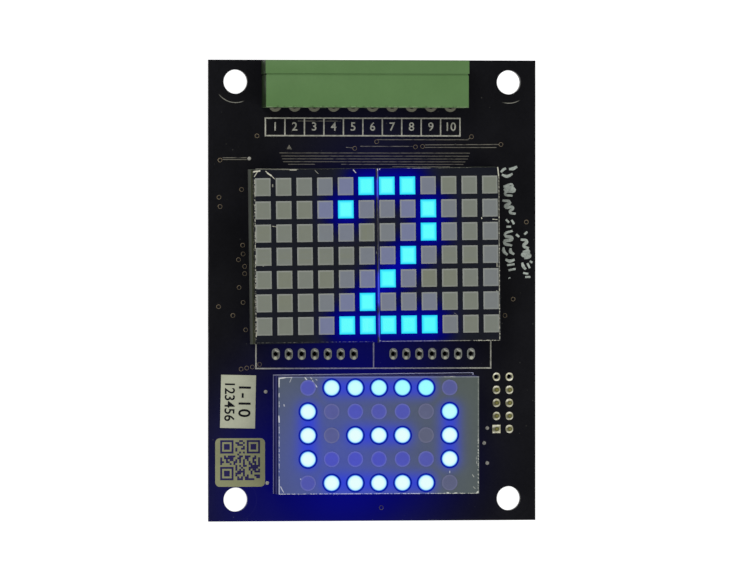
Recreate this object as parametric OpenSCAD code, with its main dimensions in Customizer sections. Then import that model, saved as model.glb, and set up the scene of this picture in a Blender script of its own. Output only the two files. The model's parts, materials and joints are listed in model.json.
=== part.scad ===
// LED dot matrix display board: a circuit board with a plug-in terminal header, two
// square-cell matrix modules side by side, one round-dot matrix module below them,
// and the driving electronics on the rear.
// Millimetres. Origin: centre of the mounting-hole pattern on the rear face of the board.
// +Z points out of the displays, +Y towards the terminal header.

/* [Board] */
// Width of the circuit board
board_w = 64; // [63.5:0.5:72]
// Height of the circuit board
board_h = 89.5; // [88:0.5:100]
// Thickness of the circuit board
board_t = 1.6; // [0.8:0.1:2.4]
// Diameter of the four mounting holes
mount_d = 4.7; // [3:0.1:5]
// Distance from the side edges to the mounting holes
mount_inset_x = 5.25; // [4.2:0.05:5.6]
// Distance from the top and bottom edges to the mounting holes
mount_inset_y = 4.25; // [3.6:0.05:4.5]
// Radius of the printed ring round each mounting hole
mount_ring_r = 4.15; // [3.4:0.05:4.2]

/* [Terminal header] */
// Number of poles
poles = 10; // [4:1:10]
// Distance from pole to pole
pole_pitch = 3.81; // [3.5:0.01:3.9]
// Distance from the edge of the board to the mouth of the housing
header_inset = 0.2; // [0:0.05:0.6]
// Distance from the last pole to the end of the housing
header_end = 2.6; // [2.2:0.1:3]
// Depth of the housing from mouth to rear
header_depth = 9.1; // [8.6:0.1:10]
// Height of the housing above the board
header_h = 7.25; // [6.5:0.05:9]
// Thickness of the side, top and bottom walls
header_wall = 0.95; // [0.7:0.05:1.2]
// Thickness of the rear wall
header_rear_wall = 1.4; // [1.2:0.1:1.8]
// Length of the raised collar at the mouth
collar_len = 2.6; // [1.5:0.1:3.5]
// How far the collar stands proud of the housing
collar_rise = 0.1; // [0.05:0.05:0.3]
// Width of the square terminal pins
terminal_pin_w = 0.8; // [0.6:0.05:0.9]
// Distance from the mouth to the tips of the pins
pin_setback = 1.8; // [1:0.1:3]
// Sideways place of the header's middle pole
header_x = -1.9; // [-2.4:0.1:0]

/* [Upper matrix modules] */
// Distance between columns of cells
cell_pitch_x = 4.02; // [3.7:0.02:4.1]
// Distance between rows of cells
cell_pitch_y = 4.48; // [4.2:0.02:4.6]
// Width of a cell's window
cell_w = 3.05; // [2.4:0.05:3.2]
// Height of a cell's window
cell_h = 3.5; // [2.8:0.05:3.7]
// Face left above and below the outer rows of windows
cell_edge = 1.75; // [1.4:0.05:1.9]
// Height of the modules above the board
upper_t = 8; // [6:0.1:10]
// Gap between the two modules
seam_gap = 0.05; // [0.05:0.05:0.4]
// Place of the pair's centre, sideways
upper_x = -0.1; // [-0.4:0.1:0.8]
// Place of the pair's centre, upwards
upper_y = 6.85; // [6.4:0.05:7]
// How far the pair is turned on the board, in degrees
upper_turn = 0.7; // [-0.8:0.1:0.8]

/* [Lower matrix module] */
// Distance between dots, both ways
dot_pitch = 4.6; // [4.2:0.05:4.8]
// Diameter of a dot
dot_d = 3.1; // [2.4:0.1:3.4]
// Width of the module
lower_w = 39.4; // [37:0.1:40]
// Height of the module's face
lower_h = 23; // [22.8:0.1:24]
// Height of the module above the board
lower_t = 8; // [6:0.1:10]
// Place of the module's centre, sideways
lower_x = 0.2; // [-0.6:0.1:0.8]
// Place of the module's centre, upwards
lower_y = -27.9; // [-28.4:0.1:-27.7]
// Distance from the left and right sides of the module to its pins
lower_pin_inset = 3.19; // [3:0.01:3.4]

/* [Module build] */
// Thickness of the circuit inside each module
led_base_t = 1; // [0.8:0.1:1.6]
// Thickness of the skirt round that circuit
skirt = 1; // [0.7:0.1:1.4]
// How far each side leans in from the base to the face
draft = 0.15; // [0.05:0.05:0.2]
// Height of the feet under each module
foot_h = 0.3; // [0.2:0.05:0.6]
// Diameter of the feet
foot_d = 1; // [0.8:0.1:1.2]
// Distance from the left and right sides to the feet
foot_inset_x = 2.6; // [2.3:0.1:3]
// Distance from the top and bottom sides to the feet
foot_inset_y = 1.4; // [1.3:0.1:1.5]
// Depth of the straight part of each light well
well_mouth = 1.2; // [0.6:0.1:2]
// Width of a light well at its chip
well_cup = 1.5; // [1.2:0.1:2]
// How far the resin in a square cell lies below the face
resin_drop = 0.08; // [0.04:0.02:0.3]
// Width of an LED chip
chip_w = 0.4; // [0.3:0.05:0.6]
// Thickness of an LED chip
chip_t = 0.24; // [0.15:0.01:0.4]
// Diameter of the modules' pins
led_pin_d = 0.5; // [0.4:0.05:0.6]
// How far pins stand out behind the board
pin_tail = 1.6; // [1.2:0.1:2.4]

/* [Spare holes and rear port] */
// Distance between pins of the modules and of the port
pin_pitch = 2.54; // [2.4:0.02:2.6]
// Centre of the spare module places, sideways
spare_x = 0.2; // [-0.4:0.1:0.6]
// Centre of the spare module places, upwards
spare_y = 4.2; // [3.9:0.1:4.4]
// Distance between the two spare module places
spare_step = 23; // [22.6:0.1:23.2]
// Distance from the spare rows to the printed outline round them
spare_margin = 2.79; // [2.6:0.01:3]
// Width of a spare pad
spare_pad_w = 1.6; // [1.3:0.05:1.8]
// Height of a spare pad
spare_pad_h = 2.3; // [1.8:0.05:2.4]
// Sideways place of the rear port
port_x = 25.6; // [25:0.1:26]
// Upward place of the rear port
port_y = -21.9; // [-22.8:0.1:-21]
// Height of the port's plastic base
port_base_h = 2.54; // [2:0.02:3.5]
// Length of the port's pins behind the base
port_pin_len = 6; // [4:0.1:8]

/* [Rear parts] */
// Side of the controller's body
controller_w = 7; // [6:0.1:8]
// Diameter of the capacitor cans
can_d = 6.3; // [5:0.1:6.6]
// Height of the capacitors
can_h = 8.3; // [7:0.1:9]
// Side of the inductor
coil_w = 7.3; // [6:0.1:8]
// Height of the inductor
coil_h = 4.5; // [3:0.1:6]
// Length of the crystal
crystal_len = 11.2; // [10:0.1:12]
// Width of the crystal
crystal_w = 4.6; // [3.6:0.1:4.8]
// Height of the crystal
crystal_h = 4; // [3:0.1:5]

/* [Labels and print] */
// Width of a printed line
line_w = 0.25; // [0.15:0.05:0.4]
// Height of the numbered boxes under the header
box_h = 3.4; // [3:0.1:4]
// Gap from the header to the numbered boxes
box_gap = 2; // [1.7:0.1:2.4]
// Width of the paper label
paper_w = 6.8; // [5:0.1:7]
// Height of the paper label
paper_h = 10.3; // [8:0.1:11]
// Width of the square label
square_w = 9.7; // [8:0.1:9.9]
// Height of the square label
square_h = 9.4; // [8:0.1:9.6]
// Corner radius of the square label
square_r = 0.9; // [0.5:0.1:2]
// Width of the marker strokes
marker_w = 0.6; // [0.3:0.05:0.7]

/* [Hidden] */
$fn = 32;
// Play between pieces that are fitted into each other
fit_gap = 0.02;
// Overshoot of a cut past the face it opens
cut = 0.2;
// Thickness of the metal of pads, and of ink and labels
pad_t = 0.05;
ink_t = 0.03;
label_t = 0.1;
print_t = 0.02;
// Height of moulded bodies above the board, under which the leads run
body_lift = 0.12;
lead_t = 0.15;

upper_cols = 6;
upper_rows = 7;
lower_cols = 7;
lower_rows = 5;
pins_per_row = 7;
port_rows = 5;
port_rows_used = 4;

// The digit 2 on a grid of 5 by 7, and a barred nought lying on its side on 7 by 5
DIGIT_TWO = ["01110", "10001", "00001", "00010", "00100", "01000", "11111"];
BARRED_NOUGHT = ["0111110", "1000001", "1011101", "1000001", "0111110"];
// Column of the upper pair at which the digit starts
digit_start = 4;

upper_w = upper_cols * cell_pitch_x - seam_gap;
upper_h = (upper_rows - 1) * cell_pitch_y + cell_h + 2 * cell_edge;
upper_step = upper_cols * cell_pitch_x;
upper_row_span = 9 * pin_pitch;
spare_row_span = 13 * pin_pitch;
lower_row_span = lower_w - 2 * lower_pin_inset;
spare_h = spare_row_span + 2 * spare_margin;

header_w = (poles - 1) * pole_pitch + 2 * header_end;
header_front_y = board_h / 2 - header_inset;
header_rear_y = header_front_y - header_depth;
leg_y = header_rear_y + terminal_pin_w / 2 + 0.1;
terminal_pin_z = header_h * 0.44;
socket_depth = header_depth - header_rear_wall;
box_top_y = header_rear_y - box_gap;
// Middle of the upper row of rear parts, which keeps clear of the header's legs
rear_row_gap = 7.35;
rear_row_y = leg_y - rear_row_gap;

led_pin_drill = led_pin_d + 0.5;
led_pin_bore = led_pin_d + 0.3;
led_pad_d = led_pin_d + 1.1;
terminal_drill = terminal_pin_w * 1.42 + 0.4;
terminal_bore = terminal_drill - 0.2;
terminal_pad_d = 2.5;
port_pin_w = 0.64;
port_drill = 1.15;
port_bore = 0.97;
port_pad_d = 1.6;
spare_bore = 0.9;
spare_drill = 1.1;
via_drill = 0.44;
via_bore = 0.3;
via_pad_d = 0.66;

// Vias, as places on the board
VIAS = [
    [-29.8, 25.3], [-24.1, 25.6], [-22.6, 30], [-30, 18.1], [-29.8, 16.3], [-25.6, 19.6],
    [-25.4, 8.8], [-25.3, 7.1], [-26.2, 6], [-25, 4.7], [-25, 3.3], [-26.1, 0.6],
    [-25.3, -2.3], [-30.1, -3.1], [-27.3, -4.8], [-24.8, -7.6], [-22.1, -14.3], [-23.5, -14.8],
    [-24.6, -15], [-25.7, -15.2], [-20.9, -19.6], [-20.6, -37.3], [22.5, -26.8], [21.9, -29.7],
    [22.5, -33.6], [1.7, -42.2], [25.2, 28.4], [30.2, 13.3], [27.6, -1.7], [26, -4.9],
    [8.4, 27.9], [9.8, 28], [0.8, 28.9], [-3.5, 27.6], [19.4, 29.9],
];
// Middle and turn of each label: the square one stays clear of the mounting hole below
// it, and the paper one stands over the square one
label_above_mount = 7.2;
label_step = 11.8;
SQUARE_PLACE = [-25.9, mount_inset_y - board_h / 2 + label_above_mount, 0];
PAPER_PLACE = [-26.3, SQUARE_PLACE[1] + label_step, -1.2];
// Marker strokes: tallies of four bars and a slash, then a wavy underline
TALLY_X = 26.8;
TALLY_TOPS = [22.6, 15.6, 8.6];
TALLY_BAR = 2.3;
TALLY_STEP = 1.15;
WAVE = [[29.8, 11.2], [30.3, 10], [29.4, 8.8], [30.3, 7.6], [29.4, 6.4], [30.2, 5.2], [29.6, 4.2]];

// Places and turns of the rear parts
CONTROLLER = [0, 6.6, 0];
DRIVERS = [[-17.4, 7, 90], [17.6, 7, 90], [0, -21.4, 0], [0, -33.4, 0]];
SMALL_CHIPS = [[-13.4, rear_row_y, 0], [13.4, rear_row_y, 0]];
CRYSTAL = [0, 14, 0];
CANS = [[-24.2, rear_row_y, 0], [24, rear_row_y + 0.8, 0], [-25.2, -28.4, 90]];
COIL = [-3.6, rear_row_y, 0];
DIODE = [5.2, rear_row_y, 90];
TRANSISTOR_STEP = 5.6;
TRANSISTOR_Y = -8.5;
RESISTOR_X = 9.4;
RESISTOR_STEP = 2.1;
CAPACITORS = [
    [-8.8, rear_row_y, 90], [8.7, rear_row_y + 1.7, 90], [18.2, rear_row_y, 90],
    [-18.5, rear_row_y, 90], [5.6, 0, 0],
    [-5.6, 0, 0], [9.4, -21.4, 90], [9.4, -33.4, 90], [22.9, 7, 90], [-22.6, 12, 90],
];

function two_is_lit(col, row) =
    col >= digit_start && col < digit_start + 5 && DIGIT_TWO[row][col - digit_start] == "1";
function nought_is_lit(col, row) = BARRED_NOUGHT[row][col] == "1";
function arc(cx, cy, r, a0, a1, steps = 5) =
    [for (i = [0:steps]) let (a = a0 + (a1 - a0) * i / steps) [cx + r * cos(a), cy + r * sin(a)]];

// ---- Shared shapes ----

module block(w, h, t) {
    translate([-w / 2, -h / 2, 0]) cube([w, h, t]);
}

module stadium(w, h) {
    r = min(w, h) / 2;
    square([max(w - 2 * r, 0.001), h], center = true);
    square([w, max(h - 2 * r, 0.001)], center = true);
    for (s = [-1, 1]) translate([s * (w / 2 - r), s * (h / 2 - r)]) circle(r);
}

module rounded_plate(w, h, r, t) {
    linear_extrude(t) {
        square([w - 2 * r, h], center = true);
        square([w, h - 2 * r], center = true);
        for (x = [-1, 1], y = [-1, 1]) translate([x * (w / 2 - r), y * (h / 2 - r)]) circle(r);
    }
}

module rectangle_line(w, h, line) {
    difference() {
        square([w + line, h + line], center = true);
        square([w - line, h - line], center = true);
    }
}

module on_front() {
    translate([0, 0, board_t]) children();
}

// Sets a part on the rear of the board: its own +Z then points away from the board
module on_rear(place) {
    translate([place[0], place[1], 0]) rotate([180, 0, place[2]]) children();
}

// ---- Places of everything that goes through the board ----

module at_mounts() {
    for (x = [-1, 1], y = [-1, 1])
        translate([x * (board_w / 2 - mount_inset_x), y * (board_h / 2 - mount_inset_y), 0]) children();
}

module at_poles() {
    for (i = [0:poles - 1])
        translate([header_x + (i - (poles - 1) / 2) * pole_pitch, leg_y, 0]) children();
}

module pin_rows(row_span) {
    for (s = [-1, 1], i = [0:pins_per_row - 1])
        translate([(i - (pins_per_row - 1) / 2) * pin_pitch, s * row_span / 2, 0]) children();
}

// side is -1 for the left module and 1 for the right one
module upper_place(side) {
    translate([upper_x, upper_y, 0]) rotate(upper_turn) translate([side * upper_step / 2, 0, 0]) children();
}

module lower_place() {
    translate([lower_x, lower_y, 0]) children();
}

module at_led_pins() {
    for (side = [-1, 1]) upper_place(side) pin_rows(upper_row_span) children();
    lower_place() rotate(90) pin_rows(lower_row_span) children();
}

module at_spare_pins() {
    for (side = [-1, 1])
        translate([spare_x + side * spare_step / 2, spare_y, 0]) pin_rows(spare_row_span) children();
}

// Rows are counted from the bottom; the lowest ones carry the rear port
module at_port_pins(first = 0, last = port_rows - 1) {
    for (col = [0, 1], row = [first:last])
        translate([port_x + (col - 0.5) * pin_pitch, port_y + (row - (port_rows - 1) / 2) * pin_pitch, 0])
            children();
}

// ---- Board, pads and print ----

module circuit_board() {
    color([0.03, 0.03, 0.035]) difference() {
        block(board_w, board_h, board_t);
        at_mounts() drill(mount_d);
        at_poles() drill(terminal_drill);
        at_led_pins() drill(led_pin_drill);
        at_spare_pins() drill(spare_drill);
        at_port_pins() drill(port_drill);
        for (v = VIAS) translate([v[0], v[1], 0]) drill(via_drill);
    }
}

module drill(d) {
    translate([0, 0, -cut]) cylinder(d = d, h = board_t + 2 * cut);
}

// Plated hole: a barrel through the board with a flange on each face
module eyelet(drill_d, bore_d) {
    difference() {
        union() {
            cylinder(d = drill_d - 2 * fit_gap, h = board_t);
            for (z = [-pad_t, board_t]) translate([0, 0, z]) linear_extrude(pad_t) children();
        }
        translate([0, 0, -cut]) cylinder(d = bore_d, h = board_t + 2 * cut);
    }
}

module terminal_pads() {
    color([0.6, 0.61, 0.55]) at_poles() eyelet(terminal_drill, terminal_bore) circle(d = terminal_pad_d);
}

module matrix_pads() {
    color([0.6, 0.61, 0.55]) at_led_pins() eyelet(led_pin_drill, led_pin_bore) circle(d = led_pad_d);
}

module spare_pads() {
    color([0.6, 0.61, 0.55])
        at_spare_pins() eyelet(spare_drill, spare_bore) stadium(spare_pad_w, spare_pad_h);
}

// Pad 1 of the port is square
module port_pads() {
    color([0.75, 0.74, 0.6]) {
        at_port_pins(1) eyelet(port_drill, port_bore) circle(d = port_pad_d);
        translate([port_x + pin_pitch / 2, port_y - (port_rows - 1) / 2 * pin_pitch, 0])
            eyelet(port_drill, port_bore) circle(d = port_pad_d);
        translate([port_x - pin_pitch / 2, port_y - (port_rows - 1) / 2 * pin_pitch, 0])
            eyelet(port_drill, port_bore) square(port_pad_d, center = true);
    }
}

module vias() {
    color([0.55, 0.42, 0.25])
        for (v = VIAS) translate([v[0], v[1], 0]) eyelet(via_drill, via_bore) circle(d = via_pad_d);
}

// White ink: the row of boxes under the header, the outline of the spare module
// places, and a ring round each mounting hole
module board_print() {
    color([0.8, 0.82, 0.8]) on_front() linear_extrude(ink_t) {
        translate([header_x, box_top_y - box_h / 2]) {
            rectangle_line(poles * pole_pitch, box_h, line_w);
            for (i = [1:poles - 1])
                translate([(i - poles / 2) * pole_pitch, 0]) square([line_w, box_h], center = true);
        }
        translate([spare_x, spare_y]) {
            rectangle_line(2 * spare_step, spare_h, line_w);
            square([line_w, spare_h], center = true);
        }
        at_mounts() difference() {
            circle(mount_ring_r);
            circle(mount_ring_r - line_w * 0.6);
        }
    }
}

// ---- Terminal header ----

module terminal_housing() {
    color([0.36, 0.49, 0.3]) translate([header_x, header_front_y, board_t]) difference() {
        union() {
            header_shell();
            header_ribs();
        }
        at_header_slots() leg_slot();
        pad_relief();
    }
}

// Shallow hollow in the underside that clears the pads
module pad_relief() {
    w = (poles - 1) * pole_pitch + terminal_pad_d + 0.4;
    translate([-w / 2, -header_depth - cut, -cut])
        cube([w, leg_y - header_rear_y + terminal_pad_d / 2 + 2 * cut, cut + 2 * pad_t]);
}

// The shell: its mouth faces +Y, with a collar standing proud round it
module header_shell() {
    groove = 0.3;
    difference() {
        union() {
            translate([-header_w / 2, -header_depth, 0]) cube([header_w, header_depth, header_h]);
            translate([-header_w / 2 - collar_rise, -collar_len, 0])
                cube([header_w + 2 * collar_rise, collar_len, header_h + collar_rise]);
        }
        // Groove between the collar and the body, over the top and down the sides
        translate([0, -collar_len - groove, 0]) difference() {
            translate([-header_w / 2 - 1, 0, -cut]) cube([header_w + 2, groove, header_h + 1]);
            translate([-header_w / 2 + groove / 2, -cut, -2 * cut])
                cube([header_w - groove, groove + 2 * cut, header_h - groove / 2 + 2 * cut]);
        }
        // Socket for the plug
        translate([-header_w / 2 + header_wall, -socket_depth, header_wall])
            cube([header_w - 2 * header_wall, socket_depth + cut, header_h - 2 * header_wall]);
    }
}

// Ribs on the floor of the socket between poles, which key the plug
module header_ribs() {
    rib_w = 0.9;
    rib_h = 0.9;
    for (i = [0:poles])
        translate([(i - poles / 2) * pole_pitch, -0.5, header_wall]) rotate([90, 0, 0])
            linear_extrude(socket_depth - 0.5)
                polygon([[-rib_w / 2, -0.1], [rib_w / 2, -0.1], [rib_w / 4, rib_h], [-rib_w / 4, rib_h]]);
}

module at_header_slots() {
    for (i = [0:poles - 1])
        translate([(i - (poles - 1) / 2) * pole_pitch, leg_y - header_front_y, 0]) children();
}

// Slot down the rear wall for a pin's leg, and the square hole its blade passes through
module leg_slot() {
    play = 0.1;
    slot_w = terminal_pin_w + 2 * play;
    slot_in = terminal_pin_w / 2 + play;
    translate([-slot_w / 2, -header_depth / 2, -cut])
        cube([slot_w, header_depth / 2 + slot_in, terminal_pin_z + slot_w / 2 + cut]);
    translate([-terminal_pin_w / 2 - fit_gap, 0, terminal_pin_z - terminal_pin_w / 2 - fit_gap])
        cube([terminal_pin_w + 2 * fit_gap, header_rear_wall + cut, terminal_pin_w + 2 * fit_gap]);
}

// Bent pins: a blade in the socket and a leg through the board
module terminal_pins() {
    color([0.78, 0.76, 0.7]) at_poles() translate([terminal_pin_w / 2, 0, board_t]) rotate([90, 0, -90])
        linear_extrude(terminal_pin_w) bent_pin_outline();
}

// Side view of one pin: x runs towards the rear and y away from the board
module bent_pin_outline() {
    half = terminal_pin_w / 2;
    tip_x = -(header_front_y - pin_setback - leg_y);
    foot = -board_t - pin_tail;
    bevel = terminal_pin_w / 4;
    top = terminal_pin_z + half;
    polygon(concat(
        [[tip_x + 2 * bevel, top], [tip_x, top - bevel], [tip_x, top - 2 * half + bevel],
         [tip_x + 2 * bevel, top - 2 * half]],
        [[-half, top - 2 * half], [-half, foot + bevel], [-half + bevel, foot],
         [half - bevel, foot], [half, foot + bevel]],
        arc(0, terminal_pin_z, half, 0, 90)));
}

// ---- Solder ----

// Fillet of solder round a pin, standing on a pad; the children are the pin's section
module solder_fillet(foot_d, tip_d, height) {
    difference() {
        rotate_extrude() polygon([
            [0, 0], [foot_d / 2, 0], [foot_d * 0.34, height * 0.22],
            [(foot_d + tip_d) * 0.17 + tip_d * 0.12, height * 0.5], [tip_d / 2, height], [0, height]]);
        translate([0, 0, -cut]) linear_extrude(height + 2 * cut) children();
    }
}

module terminal_solder() {
    color([0.7, 0.7, 0.7]) at_poles() translate([0, 0, -pad_t]) mirror([0, 0, 1])
        solder_fillet(terminal_pad_d - 0.2, terminal_pin_w * 1.42 + 0.3, pin_tail * 0.7)
            square(terminal_pin_w + 2 * fit_gap, center = true);
}

module matrix_solder() {
    color([0.7, 0.7, 0.7]) at_led_pins() translate([0, 0, -pad_t]) mirror([0, 0, 1])
        solder_fillet(led_pad_d - 0.1, led_pin_d + 0.3, pin_tail * 0.65) circle(d = led_pin_d + 2 * fit_gap);
}

module port_solder() {
    color([0.7, 0.7, 0.7]) at_port_pins(0, port_rows_used - 1) translate([0, 0, board_t + pad_t])
        solder_fillet(port_pad_d - 0.1, port_pin_w * 1.42 + 0.12, 0.5)
            square(port_pin_w + 2 * fit_gap, center = true);
}

// ---- Matrix modules ----

module at_feet(w, h) {
    for (x = [-1, 1], y = [-1, 1])
        translate([x * (w / 2 - foot_inset_x), y * (h / 2 - foot_inset_y), 0]) children();
}

// Body of a module on its feet, open underneath for the inner circuit. The children cut
// the light wells, from the top of the inner circuit upwards
module module_body(w, h, t) {
    difference() {
        translate([0, 0, foot_h]) funnel(w, h, w - 2 * draft, h - 2 * draft, t - foot_h);
        translate([0, 0, -cut]) block(w - 2 * skirt, h - 2 * skirt, foot_h + led_base_t + cut);
        translate([0, 0, foot_h + led_base_t]) children();
    }
    at_feet(w, h) cylinder(d = foot_d, h = foot_h + led_base_t + cut);
}

// Circuit inside a module, let in between the skirts, with holes that clear the feet
module module_circuit(w, h) {
    translate([0, 0, foot_h]) difference() {
        block(w - 2 * skirt - 2 * fit_gap, h - 2 * skirt - 2 * fit_gap, led_base_t - fit_gap);
        at_feet(w, h) translate([0, 0, -cut]) cylinder(d = foot_d + 4 * fit_gap, h = led_base_t + 2 * cut);
        children();
    }
}

// Block with a rectangular section that widens from the chip to the front
module funnel(back_w, back_h, front_w, front_h, t) {
    intersection() {
        rotate([90, 0, 0]) linear_extrude(2 * front_h, center = true)
            polygon([[-back_w / 2, 0], [back_w / 2, 0], [front_w / 2, t], [-front_w / 2, t]]);
        rotate([90, 0, 90]) linear_extrude(2 * front_w, center = true)
            polygon([[-back_h / 2, 0], [back_h / 2, 0], [front_h / 2, t], [-front_h / 2, t]]);
    }
}

// Light well of a square cell, depth deep; play makes it smaller all round, and top
// lengthens it past the face
module cell_well(depth, play = 0, top = 0) {
    w = cell_w - 2 * play;
    h = cell_h - 2 * play;
    cup = well_cup - 2 * play;
    funnel(cup, cup, w, h, depth - well_mouth);
    translate([0, 0, depth - well_mouth]) block(w, h, well_mouth + top);
}

// Light well of a round dot
module dot_well(depth, play = 0, top = 0) {
    d = dot_d - 2 * play;
    cylinder(d1 = well_cup - 2 * play, d2 = d, h = depth - well_mouth);
    translate([0, 0, depth - well_mouth]) cylinder(d = d, h = well_mouth + top);
}

// Pocket in the resin over a chip
module chip_pocket() {
    w = chip_w + 4 * fit_gap;
    translate([0, 0, -cut]) block(w, w, cut + chip_t + 2 * fit_gap);
}

// Column and row of a cell in its module, rows counted from the top
module cell_place(col, row) {
    translate([(col - (upper_cols - 1) / 2) * cell_pitch_x, ((upper_rows - 1) / 2 - row) * cell_pitch_y, 0])
        children();
}

module dot_place(col, row) {
    translate([(col - (lower_cols - 1) / 2) * dot_pitch, ((lower_rows - 1) / 2 - row) * dot_pitch, 0])
        children();
}

module upper_housing(side) {
    depth = upper_t - foot_h - led_base_t;
    color([0.1, 0.1, 0.11]) on_front() upper_place(side) module_body(upper_w, upper_h, upper_t)
        for (col = [0:upper_cols - 1], row = [0:upper_rows - 1]) cell_place(col, row) {
            cell_well(depth, 0, cut);
            translate([0, 0, -cut]) block(well_cup, well_cup, 2 * cut);
        }
}

// Resin in the cells of one module, either the lit ones or the dark ones
module upper_resin(side, lit) {
    depth = upper_t - foot_h - led_base_t;
    first = side < 0 ? 0 : upper_cols;
    on_front() upper_place(side) translate([0, 0, foot_h + led_base_t])
        for (col = [0:upper_cols - 1], row = [0:upper_rows - 1])
            if (two_is_lit(first + col, row) == lit) cell_place(col, row) difference() {
                cell_well(depth, fit_gap, -resin_drop);
                chip_pocket();
            }
}

module upper_circuit(side) {
    color([0.75, 0.72, 0.6]) on_front() upper_place(side) module_circuit(upper_w, upper_h)
        pin_rows(upper_row_span) circuit_hole();
}

module circuit_hole() {
    translate([0, 0, -cut]) cylinder(d = led_pin_d + 2 * fit_gap, h = led_base_t + 2 * cut);
}

module led_chip() {
    block(chip_w, chip_w, chip_t);
}

module upper_chips(side) {
    color([0.55, 0.7, 0.85]) on_front() upper_place(side) translate([0, 0, foot_h + led_base_t])
        for (col = [0:upper_cols - 1], row = [0:upper_rows - 1]) cell_place(col, row) led_chip();
}

module led_pin() {
    translate([0, 0, -pin_tail])
        cylinder(d = led_pin_d, h = pin_tail + board_t + foot_h + led_base_t - 2 * fit_gap);
}

module upper_pins(side) {
    color([0.78, 0.76, 0.7]) upper_place(side) pin_rows(upper_row_span) led_pin();
}

module lower_housing() {
    depth = lower_t - foot_h - led_base_t;
    color([0.33, 0.35, 0.36]) on_front() lower_place() module_body(lower_w, lower_h, lower_t)
        for (col = [0:lower_cols - 1], row = [0:lower_rows - 1]) dot_place(col, row) {
            dot_well(depth, 0, cut);
            translate([0, 0, -cut]) cylinder(d = well_cup, h = 2 * cut);
        }
}

module lower_resin(lit) {
    depth = lower_t - foot_h - led_base_t;
    on_front() lower_place() translate([0, 0, foot_h + led_base_t])
        for (col = [0:lower_cols - 1], row = [0:lower_rows - 1])
            if (nought_is_lit(col, row) == lit) dot_place(col, row) difference() {
                dot_well(depth, fit_gap, -fit_gap);
                chip_pocket();
            }
}

module lower_circuit() {
    color([0.75, 0.72, 0.6]) on_front() lower_place() module_circuit(lower_w, lower_h)
        rotate(90) pin_rows(lower_row_span) circuit_hole();
}

module lower_chips() {
    color([0.55, 0.7, 0.85]) on_front() lower_place() translate([0, 0, foot_h + led_base_t])
        for (col = [0:lower_cols - 1], row = [0:lower_rows - 1]) dot_place(col, row) led_chip();
}

module lower_pins() {
    color([0.78, 0.76, 0.7]) lower_place() rotate(90) pin_rows(lower_row_span) led_pin();
}

// ---- Rear port ----

module port_base() {
    notch = 0.5;
    w = 2 * pin_pitch;
    used_y = port_y + (port_rows_used - port_rows) / 2 * pin_pitch;
    color([0.06, 0.06, 0.06]) difference() {
        translate([port_x, used_y, -pad_t - port_base_h]) block(w, port_rows_used * pin_pitch, port_base_h);
        for (i = [1:port_rows_used - 1], s = [-1, 1])
            translate([port_x + s * w / 2, used_y + (i - port_rows_used / 2) * pin_pitch, -port_base_h - 1])
                rotate(45) block(notch, notch, port_base_h + 2);
        at_port_pins(0, port_rows_used - 1) translate([0, 0, -port_base_h - 1])
            block(port_pin_w + 2 * fit_gap, port_pin_w + 2 * fit_gap, port_base_h + 2);
    }
}

module port_pins() {
    front_tip = 0.7;
    low = port_base_h + pad_t + port_pin_len;
    half = port_pin_w / 2;
    color([0.75, 0.65, 0.3]) at_port_pins(0, port_rows_used - 1) {
        translate([0, 0, -low + half]) block(port_pin_w, port_pin_w, low - half + board_t + front_tip);
        translate([0, 0, -low]) funnel(half, half, port_pin_w, port_pin_w, half);
    }
}

// ---- Labels and marker ----

// Labels lie over the printed rings
module on_label(place) {
    translate([place[0], place[1], board_t + ink_t]) rotate(place[2]) children();
}

module paper_label() {
    color([0.66, 0.66, 0.57]) on_label(PAPER_PLACE) block(paper_w, paper_h, label_t);
}

// Two printed lines that run down the label
module paper_label_print() {
    color([0.08, 0.08, 0.08]) on_label(PAPER_PLACE) translate([0, 0, label_t]) {
        translate([paper_w * 0.16, 0, 0]) for (i = [-1, 0, 1])
            translate([0, i * paper_h * 0.2, 0]) block(paper_w * 0.24, paper_h * 0.13, print_t);
        translate([-paper_w * 0.24, 0, 0]) for (i = [-2:2])
            translate([0, i * paper_h * 0.13, 0]) block(paper_w * 0.2, paper_h * 0.07, print_t);
    }
}

module square_label() {
    color([0.42, 0.42, 0.32]) on_label(SQUARE_PLACE) rounded_plate(square_w, square_h, square_r, label_t);
}

// Three framed corner squares, and slanting rows of dashes in the rest of the field
module square_label_print() {
    cells = 21;
    cell = square_w * 0.8 / cells;
    frame_at = (cells - 7) / 2 * cell;
    color([0.1, 0.1, 0.2]) on_label(SQUARE_PLACE) translate([0, 0, label_t]) {
        for (c = [[-1, 1], [1, 1], [-1, -1]]) translate([c[0] * frame_at, c[1] * frame_at, 0]) {
            linear_extrude(print_t) rectangle_line(6 * cell, 6 * cell, cell);
            block(3 * cell, 3 * cell, print_t);
        }
        for (row = [0:cells - 1], k = [0:6]) {
            col = (3 * k + 2 * row) % cells;
            if (col < cells - 1 && !is_framed(col, row))
                translate([(col + 1 - cells / 2) * cell, (row + 0.5 - cells / 2) * cell, 0])
                    block(1.8 * cell, 0.85 * cell, print_t);
        }
    }
}

// Cells that the corner squares and their margins take, rows counted from the bottom
function is_framed(col, row) = row > 12 ? col < 8 || col > 11 : row < 8 && col < 8;

module stroke(points, w) {
    for (i = [0:len(points) - 2]) {
        p = points[i];
        q = points[i + 1];
        translate((p + q) / 2) rotate(atan2(q[1] - p[1], q[0] - p[0]))
            square([norm(q - p), w], center = true);
    }
    for (p = points) translate(p) circle(d = w, $fn = 16);
}

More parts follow.
